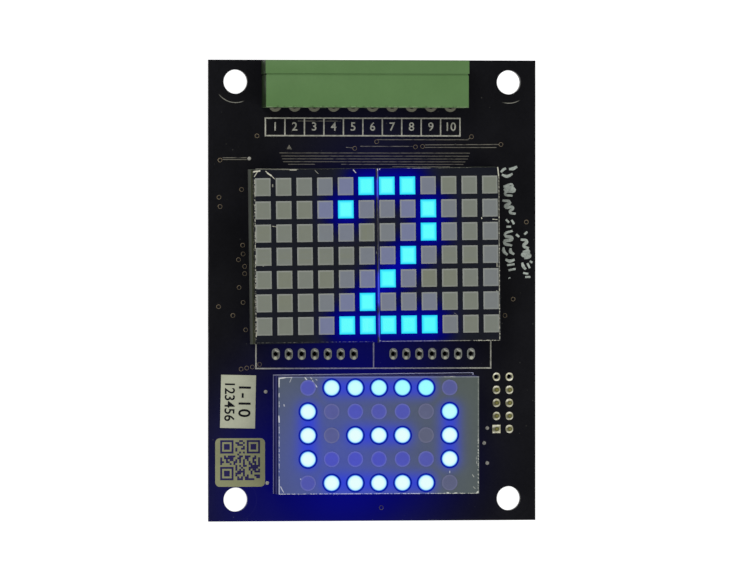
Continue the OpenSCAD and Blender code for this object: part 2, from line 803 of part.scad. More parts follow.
module marker_strokes() {
    color([0.45, 0.47, 0.46]) on_front() linear_extrude(print_t) {
        for (top = TALLY_TOPS) {
            for (i = [0:3]) stroke([
                [TALLY_X - TALLY_BAR / 2, top - i * TALLY_STEP],
                [TALLY_X + TALLY_BAR / 2, top - i * TALLY_STEP + 0.3]], marker_w);
            stroke([[TALLY_X + 0.7, top + 0.9], [TALLY_X - 0.7, top - 3 * TALLY_STEP - 0.8]], marker_w);
        }
        stroke(WAVE, marker_w);
    }
}

// ---- Moulded chips and their leads ----

// Side view of a gull-wing lead: x runs outwards from the body, y away from the board
module gull_outline(reach, rise) {
    foot = reach * 0.55;
    polygon([
        [-0.1, rise], [reach - foot, rise], [reach - foot + lead_t * 0.6, lead_t], [reach, lead_t],
        [reach, 0], [reach - foot - lead_t * 0.4, 0], [reach - foot - lead_t, rise - lead_t],
        [-0.1, rise - lead_t]]);
}

// A row of leads along the +X side of a body
module lead_row(count, pitch, lead_w, edge, reach, rise) {
    for (i = [0:count - 1])
        translate([edge, (i - (count - 1) / 2) * pitch + lead_w / 2, 0]) rotate([90, 0, 0])
            linear_extrude(lead_w) gull_outline(reach, rise);
}

// Moulded body with a dimple at pin 1; slots at the leads are cut by the children
module chip_body(w, h, t, dimple) {
    difference() {
        translate([0, 0, body_lift]) block(w, h, t);
        translate([-w / 2 + 1.6 * dimple, h / 2 - 1.6 * dimple, body_lift + t - 0.12])
            cylinder(d = dimple, h = cut + 0.12);
        children();
    }
}

module lead_slots(count, pitch, lead_w, edge, rise) {
    for (i = [0:count - 1])
        translate([edge - 0.1 - fit_gap, (i - (count - 1) / 2) * pitch - lead_w / 2 - fit_gap,
                   rise - lead_t - fit_gap])
            cube([1, lead_w + 2 * fit_gap, lead_t + 2 * fit_gap]);
}

// Controller: square body with twelve leads on each side
controller_rise = 0.85;
module controller_body() {
    color([0.07, 0.07, 0.075]) on_rear(CONTROLLER) chip_body(controller_w, controller_w, 1.4, 0.8)
        for (a = [0:90:270]) rotate(a) lead_slots(12, 0.5, 0.22, controller_w / 2, controller_rise);
}

module controller_leads() {
    color([0.7, 0.7, 0.7]) on_rear(CONTROLLER) for (a = [0:90:270]) rotate(a)
        lead_row(12, 0.5, 0.22, controller_w / 2, 1, controller_rise);
}

// Drivers: narrow bodies with eight leads on each long side
driver_w = 3.9;
driver_len = 9.9;
driver_rise = 0.85;
module driver_bodies() {
    color([0.07, 0.07, 0.075]) for (d = DRIVERS) on_rear(d) rotate(90)
        chip_body(driver_w, driver_len, 1.5, 0.7)
            for (a = [0, 180]) rotate(a) lead_slots(8, 1.27, 0.42, driver_w / 2, driver_rise);
}

module driver_leads() {
    color([0.7, 0.7, 0.7]) for (d = DRIVERS) on_rear(d) rotate(90) for (a = [0, 180]) rotate(a)
        lead_row(8, 1.27, 0.42, driver_w / 2, 1.05, driver_rise);
}

// Regulator and bus transceiver: the same eight-lead body
small_chip_len = 4.9;
module small_chip_bodies() {
    color([0.07, 0.07, 0.075]) for (c = SMALL_CHIPS) on_rear(c)
        chip_body(driver_w, small_chip_len, 1.5, 0.7)
            for (a = [0, 180]) rotate(a) lead_slots(4, 1.27, 0.42, driver_w / 2, driver_rise);
}

module small_chip_leads() {
    color([0.7, 0.7, 0.7]) for (c = SMALL_CHIPS) on_rear(c) for (a = [0, 180]) rotate(a)
        lead_row(4, 1.27, 0.42, driver_w / 2, 1.05, driver_rise);
}

// Row transistors: two leads on one side and one on the other
module at_transistors() {
    for (i = [-3:3]) on_rear([i * TRANSISTOR_STEP, TRANSISTOR_Y, 0]) rotate(90) children();
}

transistor_rise = 0.6;
module transistor_bodies() {
    color([0.07, 0.07, 0.075]) at_transistors() chip_body(1.3, 2.9, 1, 0.01) {
        lead_slots(2, 1.9, 0.4, 0.65, transistor_rise);
        rotate(180) lead_slots(1, 1, 0.4, 0.65, transistor_rise);
    }
}

module transistor_leads() {
    color([0.7, 0.7, 0.7]) at_transistors() {
        lead_row(2, 1.9, 0.4, 0.65, 0.55, transistor_rise);
        rotate(180) lead_row(1, 1, 0.4, 0.65, 0.55, transistor_rise);
    }
}

// ---- Larger rear parts ----

crystal_base_h = 0.8;
module crystal_can() {
    color([0.72, 0.73, 0.74]) on_rear(CRYSTAL) translate([0, 0, body_lift + crystal_base_h]) {
        linear_extrude(0.4) stadium(crystal_len, crystal_w);
        linear_extrude(crystal_h - crystal_base_h) stadium(crystal_len - 0.6, crystal_w - 0.6);
    }
}

module crystal_base() {
    color([0.08, 0.08, 0.08]) on_rear(CRYSTAL)
        translate([0, 0, body_lift]) block(crystal_len + 0.2, crystal_w, crystal_base_h);
}

module crystal_tabs() {
    color([0.7, 0.7, 0.7]) on_rear(CRYSTAL) for (s = [-1, 1])
        translate([s * (crystal_len / 2 - 0.4), 0, 0]) block(2.6, 0.7, body_lift);
}

can_base_h = 1.2;
module capacitor_cans() {
    r = can_d / 2;
    neck_z = can_base_h + 1;
    color([0.75, 0.76, 0.77]) for (c = CANS) on_rear(c) rotate_extrude() polygon(concat(
        [[0, can_base_h], [r - 0.1, can_base_h], [r, can_base_h + 0.2], [r, neck_z - 0.3], [r - 0.3, neck_z],
         [r, neck_z + 0.3]],
        arc(r - 0.4, can_h - 0.4, 0.4, 0, 90, 4),
        [[0, can_h]]));
}

module capacitor_bases() {
    w = can_d + 0.3;
    bevel = 1.2;
    color([0.06, 0.06, 0.06]) for (c = CANS) on_rear(c) translate([0, 0, body_lift])
        linear_extrude(can_base_h - body_lift) polygon([
            [-w / 2, -w / 2], [w / 2 - bevel, -w / 2], [w / 2, -w / 2 + bevel], [w / 2, w / 2 - bevel],
            [w / 2 - bevel, w / 2], [-w / 2, w / 2]]);
}

module capacitor_tabs() {
    color([0.7, 0.7, 0.7]) for (c = CANS) on_rear(c) for (s = [-1, 1])
        translate([s * (can_d / 2 - 0.4), 0, 0]) block(can_d * 0.45, 0.8, body_lift);
}

module inductor_core() {
    bevel = 1.1;
    r = coil_w / 2;
    color([0.12, 0.12, 0.13]) on_rear(COIL) difference() {
        translate([0, 0, body_lift]) linear_extrude(coil_h) polygon([
            [-r, -r + bevel], [-r + bevel, -r], [r - bevel, -r], [r, -r + bevel], [r, r - bevel],
            [r - bevel, r], [-r + bevel, r], [-r, r - bevel]]);
        translate([0, 0, body_lift + coil_h - 0.5]) difference() {
            cylinder(r = r - 0.5, h = 1);
            translate([0, 0, -cut]) cylinder(r = r - 1, h = 1 + 2 * cut);
        }
    }
}

module inductor_tabs() {
    color([0.7, 0.7, 0.7]) on_rear(COIL) for (s = [-1, 1])
        translate([s * (coil_w / 2 - 0.5), 0, 0]) block(1.6, 2.2, body_lift);
}

module diode_body() {
    color([0.07, 0.07, 0.075]) on_rear(DIODE) translate([0, 0, body_lift]) block(4.4, 3.6, 2.2);
}

module diode_tabs() {
    color([0.7, 0.7, 0.7]) on_rear(DIODE) for (s = [-1, 1]) scale([s, 1, 1]) {
        translate([1.75, 0, 0]) block(1.5, 2, body_lift - fit_gap);
        translate([2.2 + fit_gap, -1, 0]) cube([0.25, 2, 1.2]);
    }
}

// ---- Chip resistors and capacitors ----

module at_resistors() {
    for (s = [-1, 1], i = [0:5])
        on_rear([s * RESISTOR_X, 1.4 + i * RESISTOR_STEP, 0]) children();
    for (i = [-3:2]) on_rear([(i + 0.5) * TRANSISTOR_STEP, TRANSISTOR_Y, 90]) children();
}

module at_capacitors() {
    for (c = CAPACITORS) on_rear(c) children();
}

chip_part_len = 2;
chip_part_w = 1.25;
chip_cap_len = 0.4;
module chip_resistors() {
    color([0.1, 0.1, 0.1]) at_resistors() translate([0, 0, 0.03])
        block(chip_part_len - 2 * chip_cap_len, chip_part_w, 0.5);
}

module chip_capacitors() {
    color([0.6, 0.5, 0.38]) at_capacitors() translate([0, 0, 0.03])
        block(chip_part_len - 2 * chip_cap_len, chip_part_w, 0.9);
}

module chip_caps() {
    color([0.72, 0.72, 0.72]) {
        at_resistors() end_caps(0.53);
        at_capacitors() end_caps(0.95);
    }
}

module end_caps(h) {
    for (s = [-1, 1])
        translate([s * (chip_part_len - chip_cap_len) / 2, 0, 0]) block(chip_cap_len, chip_part_w + 0.02, h);
}

// ---- Nodes ----

circuit_board();
vias();
terminal_pads();
matrix_pads();
spare_pads();
port_pads();
board_print();
terminal_housing();
terminal_pins();
terminal_solder();
upper_housing(-1);  // left_matrix_housing
color([0.1, 0.95, 1]) upper_resin(-1, true);  // left_matrix_lit_cells
color([0.48, 0.5, 0.45]) upper_resin(-1, false);  // left_matrix_dark_cells
upper_circuit(-1);  // left_matrix_circuit
upper_chips(-1);  // left_matrix_chips
upper_pins(-1);  // left_matrix_pins
upper_housing(1);  // right_matrix_housing
color([0.1, 0.95, 1]) upper_resin(1, true);  // right_matrix_lit_cells
color([0.48, 0.5, 0.45]) upper_resin(1, false);  // right_matrix_dark_cells
upper_circuit(1);  // right_matrix_circuit
upper_chips(1);  // right_matrix_chips
upper_pins(1);  // right_matrix_pins
lower_housing();  // lower_matrix_housing
color([0.75, 0.98, 1]) lower_resin(true);  // lower_matrix_lit_dots
color([0.38, 0.39, 0.45]) lower_resin(false);  // lower_matrix_dark_dots
lower_circuit();  // lower_matrix_circuit
lower_chips();  // lower_matrix_chips
lower_pins();  // lower_matrix_pins
matrix_solder();
port_base();
port_pins();
port_solder();
paper_label();
paper_label_print();
square_label();
square_label_print();
marker_strokes();
controller_body();
controller_leads();
driver_bodies();
driver_leads();
small_chip_bodies();
small_chip_leads();
transistor_bodies();
transistor_leads();
crystal_can();
crystal_base();
crystal_tabs();
capacitor_cans();
capacitor_bases();
capacitor_tabs();
inductor_core();
inductor_tabs();
diode_body();
diode_tabs();
chip_resistors();
chip_capacitors();
chip_caps();
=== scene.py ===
"""Looks of the LED dot matrix display board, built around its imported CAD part."""
import json
import math

import bpy
from mathutils import Matrix, Vector


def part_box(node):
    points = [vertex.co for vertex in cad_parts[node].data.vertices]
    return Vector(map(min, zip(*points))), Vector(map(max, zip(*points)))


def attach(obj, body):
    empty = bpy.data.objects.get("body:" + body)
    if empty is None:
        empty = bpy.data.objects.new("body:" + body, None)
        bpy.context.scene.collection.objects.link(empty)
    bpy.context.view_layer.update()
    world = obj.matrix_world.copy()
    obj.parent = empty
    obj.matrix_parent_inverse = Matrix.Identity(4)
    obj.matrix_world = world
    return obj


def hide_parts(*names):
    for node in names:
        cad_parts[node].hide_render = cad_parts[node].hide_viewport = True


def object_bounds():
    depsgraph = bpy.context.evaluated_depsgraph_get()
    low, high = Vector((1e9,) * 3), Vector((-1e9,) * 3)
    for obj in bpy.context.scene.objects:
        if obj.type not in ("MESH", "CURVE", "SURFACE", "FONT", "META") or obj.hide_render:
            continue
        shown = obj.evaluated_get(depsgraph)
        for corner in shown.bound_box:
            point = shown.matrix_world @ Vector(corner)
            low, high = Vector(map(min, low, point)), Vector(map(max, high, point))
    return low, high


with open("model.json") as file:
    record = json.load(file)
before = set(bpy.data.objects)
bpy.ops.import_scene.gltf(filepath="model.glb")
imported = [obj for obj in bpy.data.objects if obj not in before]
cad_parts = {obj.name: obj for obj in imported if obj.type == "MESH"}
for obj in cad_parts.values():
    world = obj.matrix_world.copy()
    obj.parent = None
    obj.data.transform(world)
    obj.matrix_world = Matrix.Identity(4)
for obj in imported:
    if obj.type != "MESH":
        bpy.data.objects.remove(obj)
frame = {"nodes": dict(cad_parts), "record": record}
cad_low, cad_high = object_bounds()

MM = 0.001
NODES = frame["nodes"]
SLOT_OF = {part["node"]: part["material_slot"] for part in frame["record"]["subparts"]}


# ---- Places and sizes of the CAD's pieces ----

def flat_middle(low, high):
    """Middle of a box as seen from the front."""
    return Vector((low.x + high.x, low.y + high.y, 0)) / 2


_, board_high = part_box("circuit_board")
FRONT_Z = board_high.z
BOARD_HALF_X = board_high.x / MM
BOARD_HALF_Y = board_high.y / MM

MOUNTS = frame["record"]["mounts"][0]["dims"]
MOUNT_X = MOUNTS["spacing_x_mm"] / 2
MOUNT_Y = MOUNTS["spacing_y_mm"] / 2
MOUNT_R = MOUNTS["hole_r_mm"]

left_low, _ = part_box("left_matrix_housing")
_, right_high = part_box("right_matrix_housing")
PAIR_CENTRE = flat_middle(left_low, right_high)
PAIR_TURN = math.radians(0.7)
CELL_X, CELL_Y = 4.02, 4.48
CELL_W, CELL_H = 3.05, 3.5
PAIR_COLS, PAIR_ROWS = 12, 7
PAIR_BORDER = 1.75
PAIR_HALF_X = PAIR_COLS * CELL_X / 2
PAIR_HALF_Y = (PAIR_ROWS - 1) * CELL_Y / 2 + CELL_H / 2 + PAIR_BORDER

lower_low, lower_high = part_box("lower_matrix_housing")
LOWER_CENTRE = flat_middle(lower_low, lower_high)
LOWER_HALF_Y = (lower_high.y - lower_low.y) / 2 / MM
DOT_PITCH, DOT_R = 4.6, 1.55
DOT_COLS, DOT_ROWS = 7, 5
FACE = lower_high.z / MM

PIN_PITCH = 2.54
SPARE_LOW, SPARE_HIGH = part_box("spare_pads")
SPARE_X = (SPARE_LOW.x + SPARE_HIGH.x) / 2 / MM
SPARE_PAD_HALF = 1.15
SPARE_PAD_STRAIGHT = 0.35
SPARE_ROW = SPARE_LOW.y / MM + SPARE_PAD_HALF
# From the middle of the spare pads to the middle of either group
SPARE_STEP = 11.5

PORT_LOW, PORT_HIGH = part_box("port_pads")
PORT_CENTRE = (PORT_LOW + PORT_HIGH) / 2
PORT_PAD_HALF = 0.8


def srgb(r, g, b):
    """Colour as seen on a screen, 0 to 255, as the linear colour that nodes want."""
    def linear(v):
        v = v / 255
        return v / 12.92 if v <= 0.04045 else ((v + 0.055) / 1.055) ** 2.4
    return (linear(r), linear(g), linear(b), 1.0)


# ---- Node trees ----

class Tree:
    """A node tree with short ways to add nodes and join them."""

    def __init__(self, tree):
        self.tree = tree

    def put(self, value, socket):
        """Feeds a socket; a colour of three values is one as seen on a screen, from 0 to 255."""
        if isinstance(value, bpy.types.NodeSocket):
            self.tree.links.new(value, socket)
        elif value is not None:
            from_screen = socket.type == "RGBA" and len(value) == 3
            socket.default_value = srgb(*value) if from_screen else value

    def node(self, kind, inputs=None, **settings):
        added = self.tree.nodes.new(kind)
        for key, value in settings.items():
            setattr(added, key, value)
        for key, value in (inputs or {}).items():
            self.put(value, added.inputs[key])
        return added

    def value(self, kind, inputs=None, output=0, **settings):
        return self.node(kind, inputs, **settings).outputs[output]

    def math(self, operation, a, b=None, c=None, clamp=False):
        return self.value("ShaderNodeMath", {0: a, 1: b, 2: c}, operation=operation, use_clamp=clamp)

    def plus(self, a, b):
        return self.math("ADD", a, b)

    def minus(self, a, b):
        return self.math("SUBTRACT", a, b)

    def times(self, a, b):
        return self.math("MULTIPLY", a, b)

    def over(self, a, b):
        return self.math("DIVIDE", a, b)

    def most(self, a, b):
        return self.math("MAXIMUM", a, b)

    def least(self, a, b):
        return self.math("MINIMUM", a, b)

    def below(self, a, b):
        return self.math("LESS_THAN", a, b)

    def above(self, a, b):
        return self.math("GREATER_THAN", a, b)

    def size(self, a):
        """The value without its sign."""
        return self.math("ABSOLUTE", a)

    def bell(self, distance, width):
        """One in the middle, falling softly to nothing a few widths away."""
        share = self.over(distance, width)
        return self.math("EXPONENT", self.times(self.times(share, share), -1.0))

    def vmath(self, operation, a, b=None):
        output = "Value" if operation in ("DOT_PRODUCT", "LENGTH", "DISTANCE") else "Vector"
        return self.value("ShaderNodeVectorMath", {0: a, 1: b}, output, operation=operation)

    def length(self, a):
        return self.vmath("LENGTH", a)

    def distance(self, a, b):
        return self.vmath("DISTANCE", a, b)

    def flat(self, a):
        return self.vmath("MULTIPLY", a, (1, 1, 0))

    def scaled(self, a, factor):
        return self.value("ShaderNodeVectorMath", {0: a, "Scale": factor}, operation="SCALE")

    def split(self, vector):
        return self.node("ShaderNodeSeparateXYZ", {0: vector}).outputs

    def join(self, x, y, z=0.0):
        return self.value("ShaderNodeCombineXYZ", {0: x, 1: y, 2: z})

    def mix(self, factor, a, b, blend="MIX"):
        return self.value("ShaderNodeMix", {0: factor, 6: a, 7: b}, 2, data_type="RGBA", blend_type=blend)

    def coated(self, colour, *coats):
        """A colour with coats over it, each a mask and the colour that it brings."""
        for mask, coat in coats:
            colour = self.mix(mask, colour, coat)
        return colour

    def step(self, value, low, high, out_low=0.0, out_high=1.0, smooth=True):
        return self.value("ShaderNodeMapRange", {0: value, 1: low, 2: high, 3: out_low, 4: out_high},
                          interpolation_type="SMOOTHSTEP" if smooth else "LINEAR")

    def fade(self, value, low, high):
        """One up to the low value, nought from the high one on."""
        return self.step(value, low, high, 1.0, 0.0)

    def noise(self, vector, scale, detail=2.0, roughness=0.5):
        return self.value("ShaderNodeTexNoise", {"Vector": vector, "Scale": scale, "Detail": detail,
                                                 "Roughness": roughness})

    def random(self, vector):
        return self.value("ShaderNodeTexWhiteNoise", {"Vector": vector}, "Value")

    def use(self, name, **inputs):
        added = self.node("ShaderNodeGroup", node_tree=bpy.data.node_groups[name])
        for key, value in inputs.items():
            self.put(value, added.inputs[key.replace("_", " ")])
        return added.outputs

    def from_fixing_hole(self, x, y):
        """Distance from the axis of the nearest fixing hole."""
        return self.length(self.join(self.minus(self.size(x), MOUNT_X), self.minus(self.size(y), MOUNT_Y)))

    def seen_ray(self):
        """One for rays seen directly, in a reflection or through glass, nought for the rest."""
        path = self.node("ShaderNodeLightPath").outputs
        return self.most(path["Is Camera Ray"], self.most(path["Is Glossy Ray"], path["Is Transmission Ray"]))


def new_group(name, inputs, outputs):
    """A node group from its sockets' names and values, None for a vector: tree, inputs, outputs."""
    tree = bpy.data.node_groups.new(name, "ShaderNodeTree")
    for in_out, sockets in (("INPUT", inputs), ("OUTPUT", outputs)):
        for label, value in sockets.items():
            kind = "NodeSocketVector" if value is None else "NodeSocketFloat"
            socket = tree.interface.new_socket(label, in_out=in_out, socket_type=kind)
            if value is not None:
                socket.default_value = value
    t = Tree(tree)
    return t, t.node("NodeGroupInput").outputs, t.node("NodeGroupOutput").inputs


# ---- Shared effects ----

def make_place_group():
    """Object coordinates to millimetres on the board."""
    t, i, o = new_group("board_millimetres", {"Vector": None}, {"Vector": None})
    t.put(t.scaled(i["Vector"], 1 / MM), o["Vector"])


def make_grid_group():
    """Splits a field into equal cells: the place inside each cell, and the cell's middle."""
    t, i, o = new_group(
        "cell_grid", {"Vector": None, "Pitch X": 1.0, "Pitch Y": 1.0, "Shift X": 0.0, "Shift Y": 0.0},
        {"Inside": None, "Middle": None})
    x, y, _ = t.split(i["Vector"])
    inside, middle = [], []
    for value, axis in ((x, "X"), (y, "Y")):
        pitch = i["Pitch " + axis]
        steps = t.plus(t.over(value, pitch), i["Shift " + axis])
        inside.append(t.times(t.minus(t.math("FRACT", steps), 0.5), pitch))
        middle.append(t.minus(value, inside[-1]))
    t.put(t.join(*inside), o["Inside"])
    t.put(t.join(*middle), o["Middle"])


def make_line_group():
    """Distance from a point to a straight stroke."""
    t, i, o = new_group("stroke_distance", {"Vector": None, "Start": None, "End": None}, {"Distance": 0.0})
    away = t.vmath("SUBTRACT", t.flat(i["Vector"]), i["Start"])
    run = t.vmath("SUBTRACT", i["End"], i["Start"])
    square = t.most(t.vmath("DOT_PRODUCT", run, run), 1e-6)
    along = t.math("DIVIDE", t.vmath("DOT_PRODUCT", away, run), square, clamp=True)
    t.put(t.distance(away, t.scaled(run, along)), o["Distance"])


def cell_at(col, row):
    return ((col - (PAIR_COLS - 1) / 2) * CELL_X, ((PAIR_ROWS - 1) / 2 - row) * CELL_Y, 0)


def dot_at(col, row):
    return ((col - (DOT_COLS - 1) / 2) * DOT_PITCH, ((DOT_ROWS - 1) / 2 - row) * DOT_PITCH, 0)


# The lit strokes, as runs of cells and dots: a figure two, and a barred nought on its side
DIGIT_RUNS = [((5, 0), (7, 0)), ((4, 1), (4, 1)), ((8, 1), (8, 2)), ((7, 3), (5, 5)), ((4, 6), (8, 6))]
NOUGHT_RUNS = [((1, 0), (5, 0)), ((0, 1), (0, 3)), ((6, 1), (6, 3)), ((2, 2), (4, 2)), ((1, 4), (5, 4))]


def make_lit_group(name, runs, at):
    """Distance to the nearest lit stroke, in the module's own millimetres."""
    t, i, o = new_group(name, {"Vector": None}, {"Distance": 0.0})
    nearest = 1000.0
    for first, last in runs:
        away = t.use("stroke_distance", Vector=i["Vector"], Start=at(*first), End=at(*last))["Distance"]
        nearest = t.least(nearest, away)
    t.put(nearest, o["Distance"])


# Rubbed and scratched places on the module faces: start, end, half width, raggedness, strength
PAIR_WEAR = [
    (-23.81, 16.42, -22.7, 16.59, 0.2, 0.35, 0.95), (-23.11, 16.43, -23.74, 15.47, 0.1, 0.3, 0.8),
    (-24.46, 16.93, -15.5, 16.79, 0.11, 0.25, 0.75), (-21.5, 16.5, -21.08, 16.09, 0.09, 0.2, 0.8),
    (-21.16, 16.12, -20.46, 15.63, 0.15, 0.1, 1.1), (-20.46, 15.63, -19.85, 15.01, 0.08, 0.3, 0.8),
    (-20.21, 13.87, -20.21, 13.53, 0.14, 0.2, 0.4), (-16.77, 16.67, -15.61, 16.65, 0.1, 0.4, 0.7),
    (-11.92, 16.52, -11.34, 15.93, 0.06, 0.3, 0.5), (-4.5, 16.58, -4.04, 16.05, 0.1, 0.2, 0.85),
    (-22.04, 6.17, -21.66, 6.07, 0.1, 0.2, 0.8), (-20.36, 5.89, -19.65, 5.76, 0.08, 0.5, 0.8),
    (-22.25, -1.74, -22.15, -1.74, 0.1, 0.2, 0.75), (-0.1, 0.67, -0.1, 0.37, 0.12, 0.1, 1),
    (-0.04, 16.99, 0.23, 16.48, 0.12, 0.1, 1), (0.81, 16.97, 0.59, 16.59, 0.1, 0.2, 0.7),
    (5.77, 16.86, 6.56, 16.81, 0.09, 0.2, 0.9), (7.01, 16.84, 10.51, 16.84, 0.12, 0.35, 1),
    (11.75, 16.8, 18.35, 16.81, 0.07, 0.7, 0.55), (18.57, 16.85, 23.64, 16.83, 0.06, 0.8, 0.5),
    (-15.32, 16.8, -0.41, 16.8, 0.05, 0.8, 0.35), (23.68, 16.77, 23.86, 15.11, 0.12, 0.15, 0.95),
    (23.88, 15.17, 23.66, -16.71, 0.1, 0.1, 0.22), (23.9, 15.17, 23.68, -16.71, 0.12, 1.5, 0.85),
    (20.41, 7.02, 20.47, 6.87, 0.1, 0.1, 0.9), (22.6, 6.72, 23.43, 6.63, 0.09, 0.45, 0.85),
    (0.7, -16.6, 17.87, -16.68, 0.07, 0.4, 0.42), (17.87, -16.68, 23.62, -16.73, 0.11, 0.95, 0.8),
    (0.25, -16.5, 0.45, -16.5, 0.1, 0.2, 0.4), (-23.68, 14.85, -23.76, -16.2, 0.12, 1.2, 0.9),
    (-23.57, -16.56, -1.11, -16.61, 0.05, 0.7, 0.35), (-23.64, 13.7, -23.65, 12.73, 0.1, 0.5, 0.8),
    (-0.11, -8.85, -0.09, -9.43, 0.08, 0.4, 0.6), (-0.05, -14.64, -0.02, -16.38, 0.1, 0.5, 0.7),
    (14.82, -11.29, 15.36, -11.68, 0.05, 0.6, 0.45), (23.22, -7.1, 23.49, -7.68, 0.09, 0.3, 0.6),
    (23.31, -1.7, 23.34, -2.47, 0.09, 0.3, 0.6),
]
LOWER_WEAR = [
    (-19.42, 11.03, -18.21, 11.19, 0.15, 0.25, 0.95), (-18.21, 11.19, -16.9, 11.23, 0.07, 0.3, 0.7),
    (-19.42, 11.03, -19.42, 9.4, 0.14, 0.35, 0.95), (-16.99, 11.15, -17.34, 10.33, 0.08, 0.3, 0.6),
    (-14.36, 11.15, -13.84, 10.45, 0.11, 0.15, 1), (-13.32, 11.19, -13.05, 10.91, 0.08, 0.2, 0.8),
    (-12.94, 10.6, -12.63, 10.1, 0.08, 0.2, 0.9), (-12.63, 10.1, -12.09, 9.38, 0.1, 0.2, 0.9),
    (-12.28, 10.84, -12.05, 10.68, 0.08, 0.2, 0.6), (-13.84, 10.45, -14.59, 10.25, 0.05, 0.4, 0.5),
    (-18.47, 5.95, -18.42, 5.72, 0.14, 0.2, 0.55), (-19.42, 8.15, -19.42, 7.47, 0.12, 0.5, 0.8),
    (-19.46, 3.77, -19.4, 2.61, 0.15, 0.3, 0.95), (-19.4, 6.6, -19.4, 5.53, 0.1, 0.7, 0.8),
    (-19.4, 2.12, -19.4, -8.58, 0.1, 1.1, 0.8), (-19.4, -8.58, -19.4, -11.23, 0.1, 0.4, 0.8),
    (-19.13, -9.86, -18.55, -10.95, 0.1, 0.45, 0.9), (-15.28, -8.39, -14.8, -8.56, 0.1, 0.2, 0.85),
    (-19.4, -11.28, 19.46, -11.28, 0.1, 0.8, 0.85), (19.38, 11.34, 19.38, -0.02, 0.06, 0.4, 0.5),
    (19.38, -0.02, 19.38, -11.23, 0.12, 1, 0.9), (12.72, 11.26, 14.84, 11.26, 0.06, 0.3, 0.5),
    (13.82, -6.98, 13.82, -7.3, 0.09, 0.2, 0.7), (18.26, -7.7, 18.53, -8.11, 0.09, 0.3, 0.6),
    (16.19, 11.23, 19.26, 11.23, 0.05, 0.5, 0.4), (13.3, -11.15, 13.59, -11.19, 0.16, 0.2, 0.9),
    (14.84, -11.22, 15.13, -11.22, 0.14, 0.2, 0.9), (19.18, -11.15, 19.32, -11.03, 0.2, 0.1, 0.95),
    (18.4, -10.04, 18.78, -10.33, 0.12, 0.6, 0.5), (13.97, 11.34, 14.36, 11.34, 0.1, 0.2, 0.8),
    (19, -4.1, 19.1, -5.6, 0.08, 0.8, 0.6),
]

# Pools of light that the lit modules throw on the board: middle, radius, strength
LIGHT_POOLS = [
    (-6.4, -39.7, 9.7, 0.121), (-20.8, -42.2, 13.0, 0.078), (-19.3, -27.6, 11.0, 0.042),
    (-8.9, -14.8, 8.8, 0.031), (-0.3, 21.0, 11.8, 0.020), (4.5, -35.3, 11.3, 0.103),
    (0.0, -14.5, 12.2, 0.068),
]


def make_spill_group():
    """Light from the modules, spilling over what lies round them."""
    t, i, o = new_group("light_spill", {"Vector": None}, {"Spill": 0.0})
    flat = t.flat(i["Vector"])
    total = 0.0
    for x, y, radius, strength in LIGHT_POOLS:
        pool = t.bell(t.distance(flat, (x, y, 0)), radius)
        total = t.math("MULTIPLY_ADD", pool, strength, total)
    t.put(total, o["Spill"])


def make_grain_group():
    """Fine unevenness of a moulded or lacquered surface."""
    t, i, o = new_group(
        "surface_grain", {"Vector": None, "Fine": 4.0, "Broad": 0.15, "Tint Strength": 0.1},
        {"Tint": 1.0, "Height": 0.5, "Patch": 0.5})
    fine = t.noise(i["Vector"], i["Fine"], 3.0, 0.6)
    broad = t.noise(i["Vector"], i["Broad"], 3.0, 0.55)
    both = t.times(t.minus(t.plus(fine, broad), 1.0), i["Tint Strength"])
    t.put(t.plus(both, 1.0), o["Tint"])
    t.put(fine, o["Height"])
    t.put(broad, o["Patch"])


def make_edge_group():
    """Rubbed outer edge of a rectangular face, broken up by noise."""
    t, i, o = new_group(
        "rubbed_edge",
        {"Vector": None, "Half X": 10.0, "Half Y": 10.0, "Width": 0.2, "Break": 0.5, "Scale": 1.0},
        {"Mask": 0.0})
    x, y, _ = t.split(i["Vector"])
    inset = t.least(t.minus(i["Half X"], t.size(x)), t.minus(i["Half Y"], t.size(y)))
    worn = t.noise(i["Vector"], i["Scale"], 4.0, 0.7)
    wide = t.times(i["Width"], t.step(worn, i["Break"], t.plus(i["Break"], 0.15)))
    t.put(t.minus(1.0, t.step(inset, t.times(wide, 0.7), t.plus(wide, 0.02))), o["Mask"])


def make_worn_group():
    """Adds a scratch or rubbed line to a mask: ragged in width, and broken along its length."""
    t, i, o = new_group(
        "worn_stroke",
        {"Mask": 0.0, "Vector": None, "Start": None, "End": None, "Width": 0.1, "Ragged": 0.5,
         "Strength": 1.0},
        {"Mask": 0.0})
    # The strokes wait for one another, so that a long list doesn't fill the shader's memory
    after = t.scaled(t.join(i["Mask"], 0.0), 1e-7)
    place = t.vmath("ADD", i["Vector"], after)
    away = t.use("stroke_distance", Vector=place, Start=i["Start"], End=i["End"])["Distance"]
    rough = t.minus(t.noise(i["Vector"], 2.6, 3.0, 0.7), 0.35)
    loss = t.math("MULTIPLY", rough, t.times(i["Ragged"], 4.0), clamp=True)
    wide = t.times(i["Width"], t.minus(1.0, loss))
    mask = t.fade(away, t.times(wide, 0.6), t.plus(wide, 0.03))
    mask = t.times(t.times(mask, i["Strength"]), t.step(wide, 0.02, 0.06))
    t.put(t.most(mask, i["Mask"]), o["Mask"])


def make_speck_group():
    """Scattered specks of dust and tiny chips."""
    t, i, o = new_group(
        "dust_specks", {"Vector": None, "Spacing": 0.5, "Size": 0.08, "Share": 0.2}, {"Mask": 0.0})
    cell = t.node("ShaderNodeTexVoronoi", {"Vector": i["Vector"], "Scale": i["Spacing"]})
    chance, spread, shade = t.split(cell.outputs["Color"])
    chosen = t.below(chance, i["Share"])
    size = t.times(i["Size"], t.plus(spread, 0.3))
    dot = t.fade(cell.outputs["Distance"], t.times(size, 0.5), size)
    t.put(t.times(t.times(dot, chosen), t.plus(shade, 0.25)), o["Mask"])


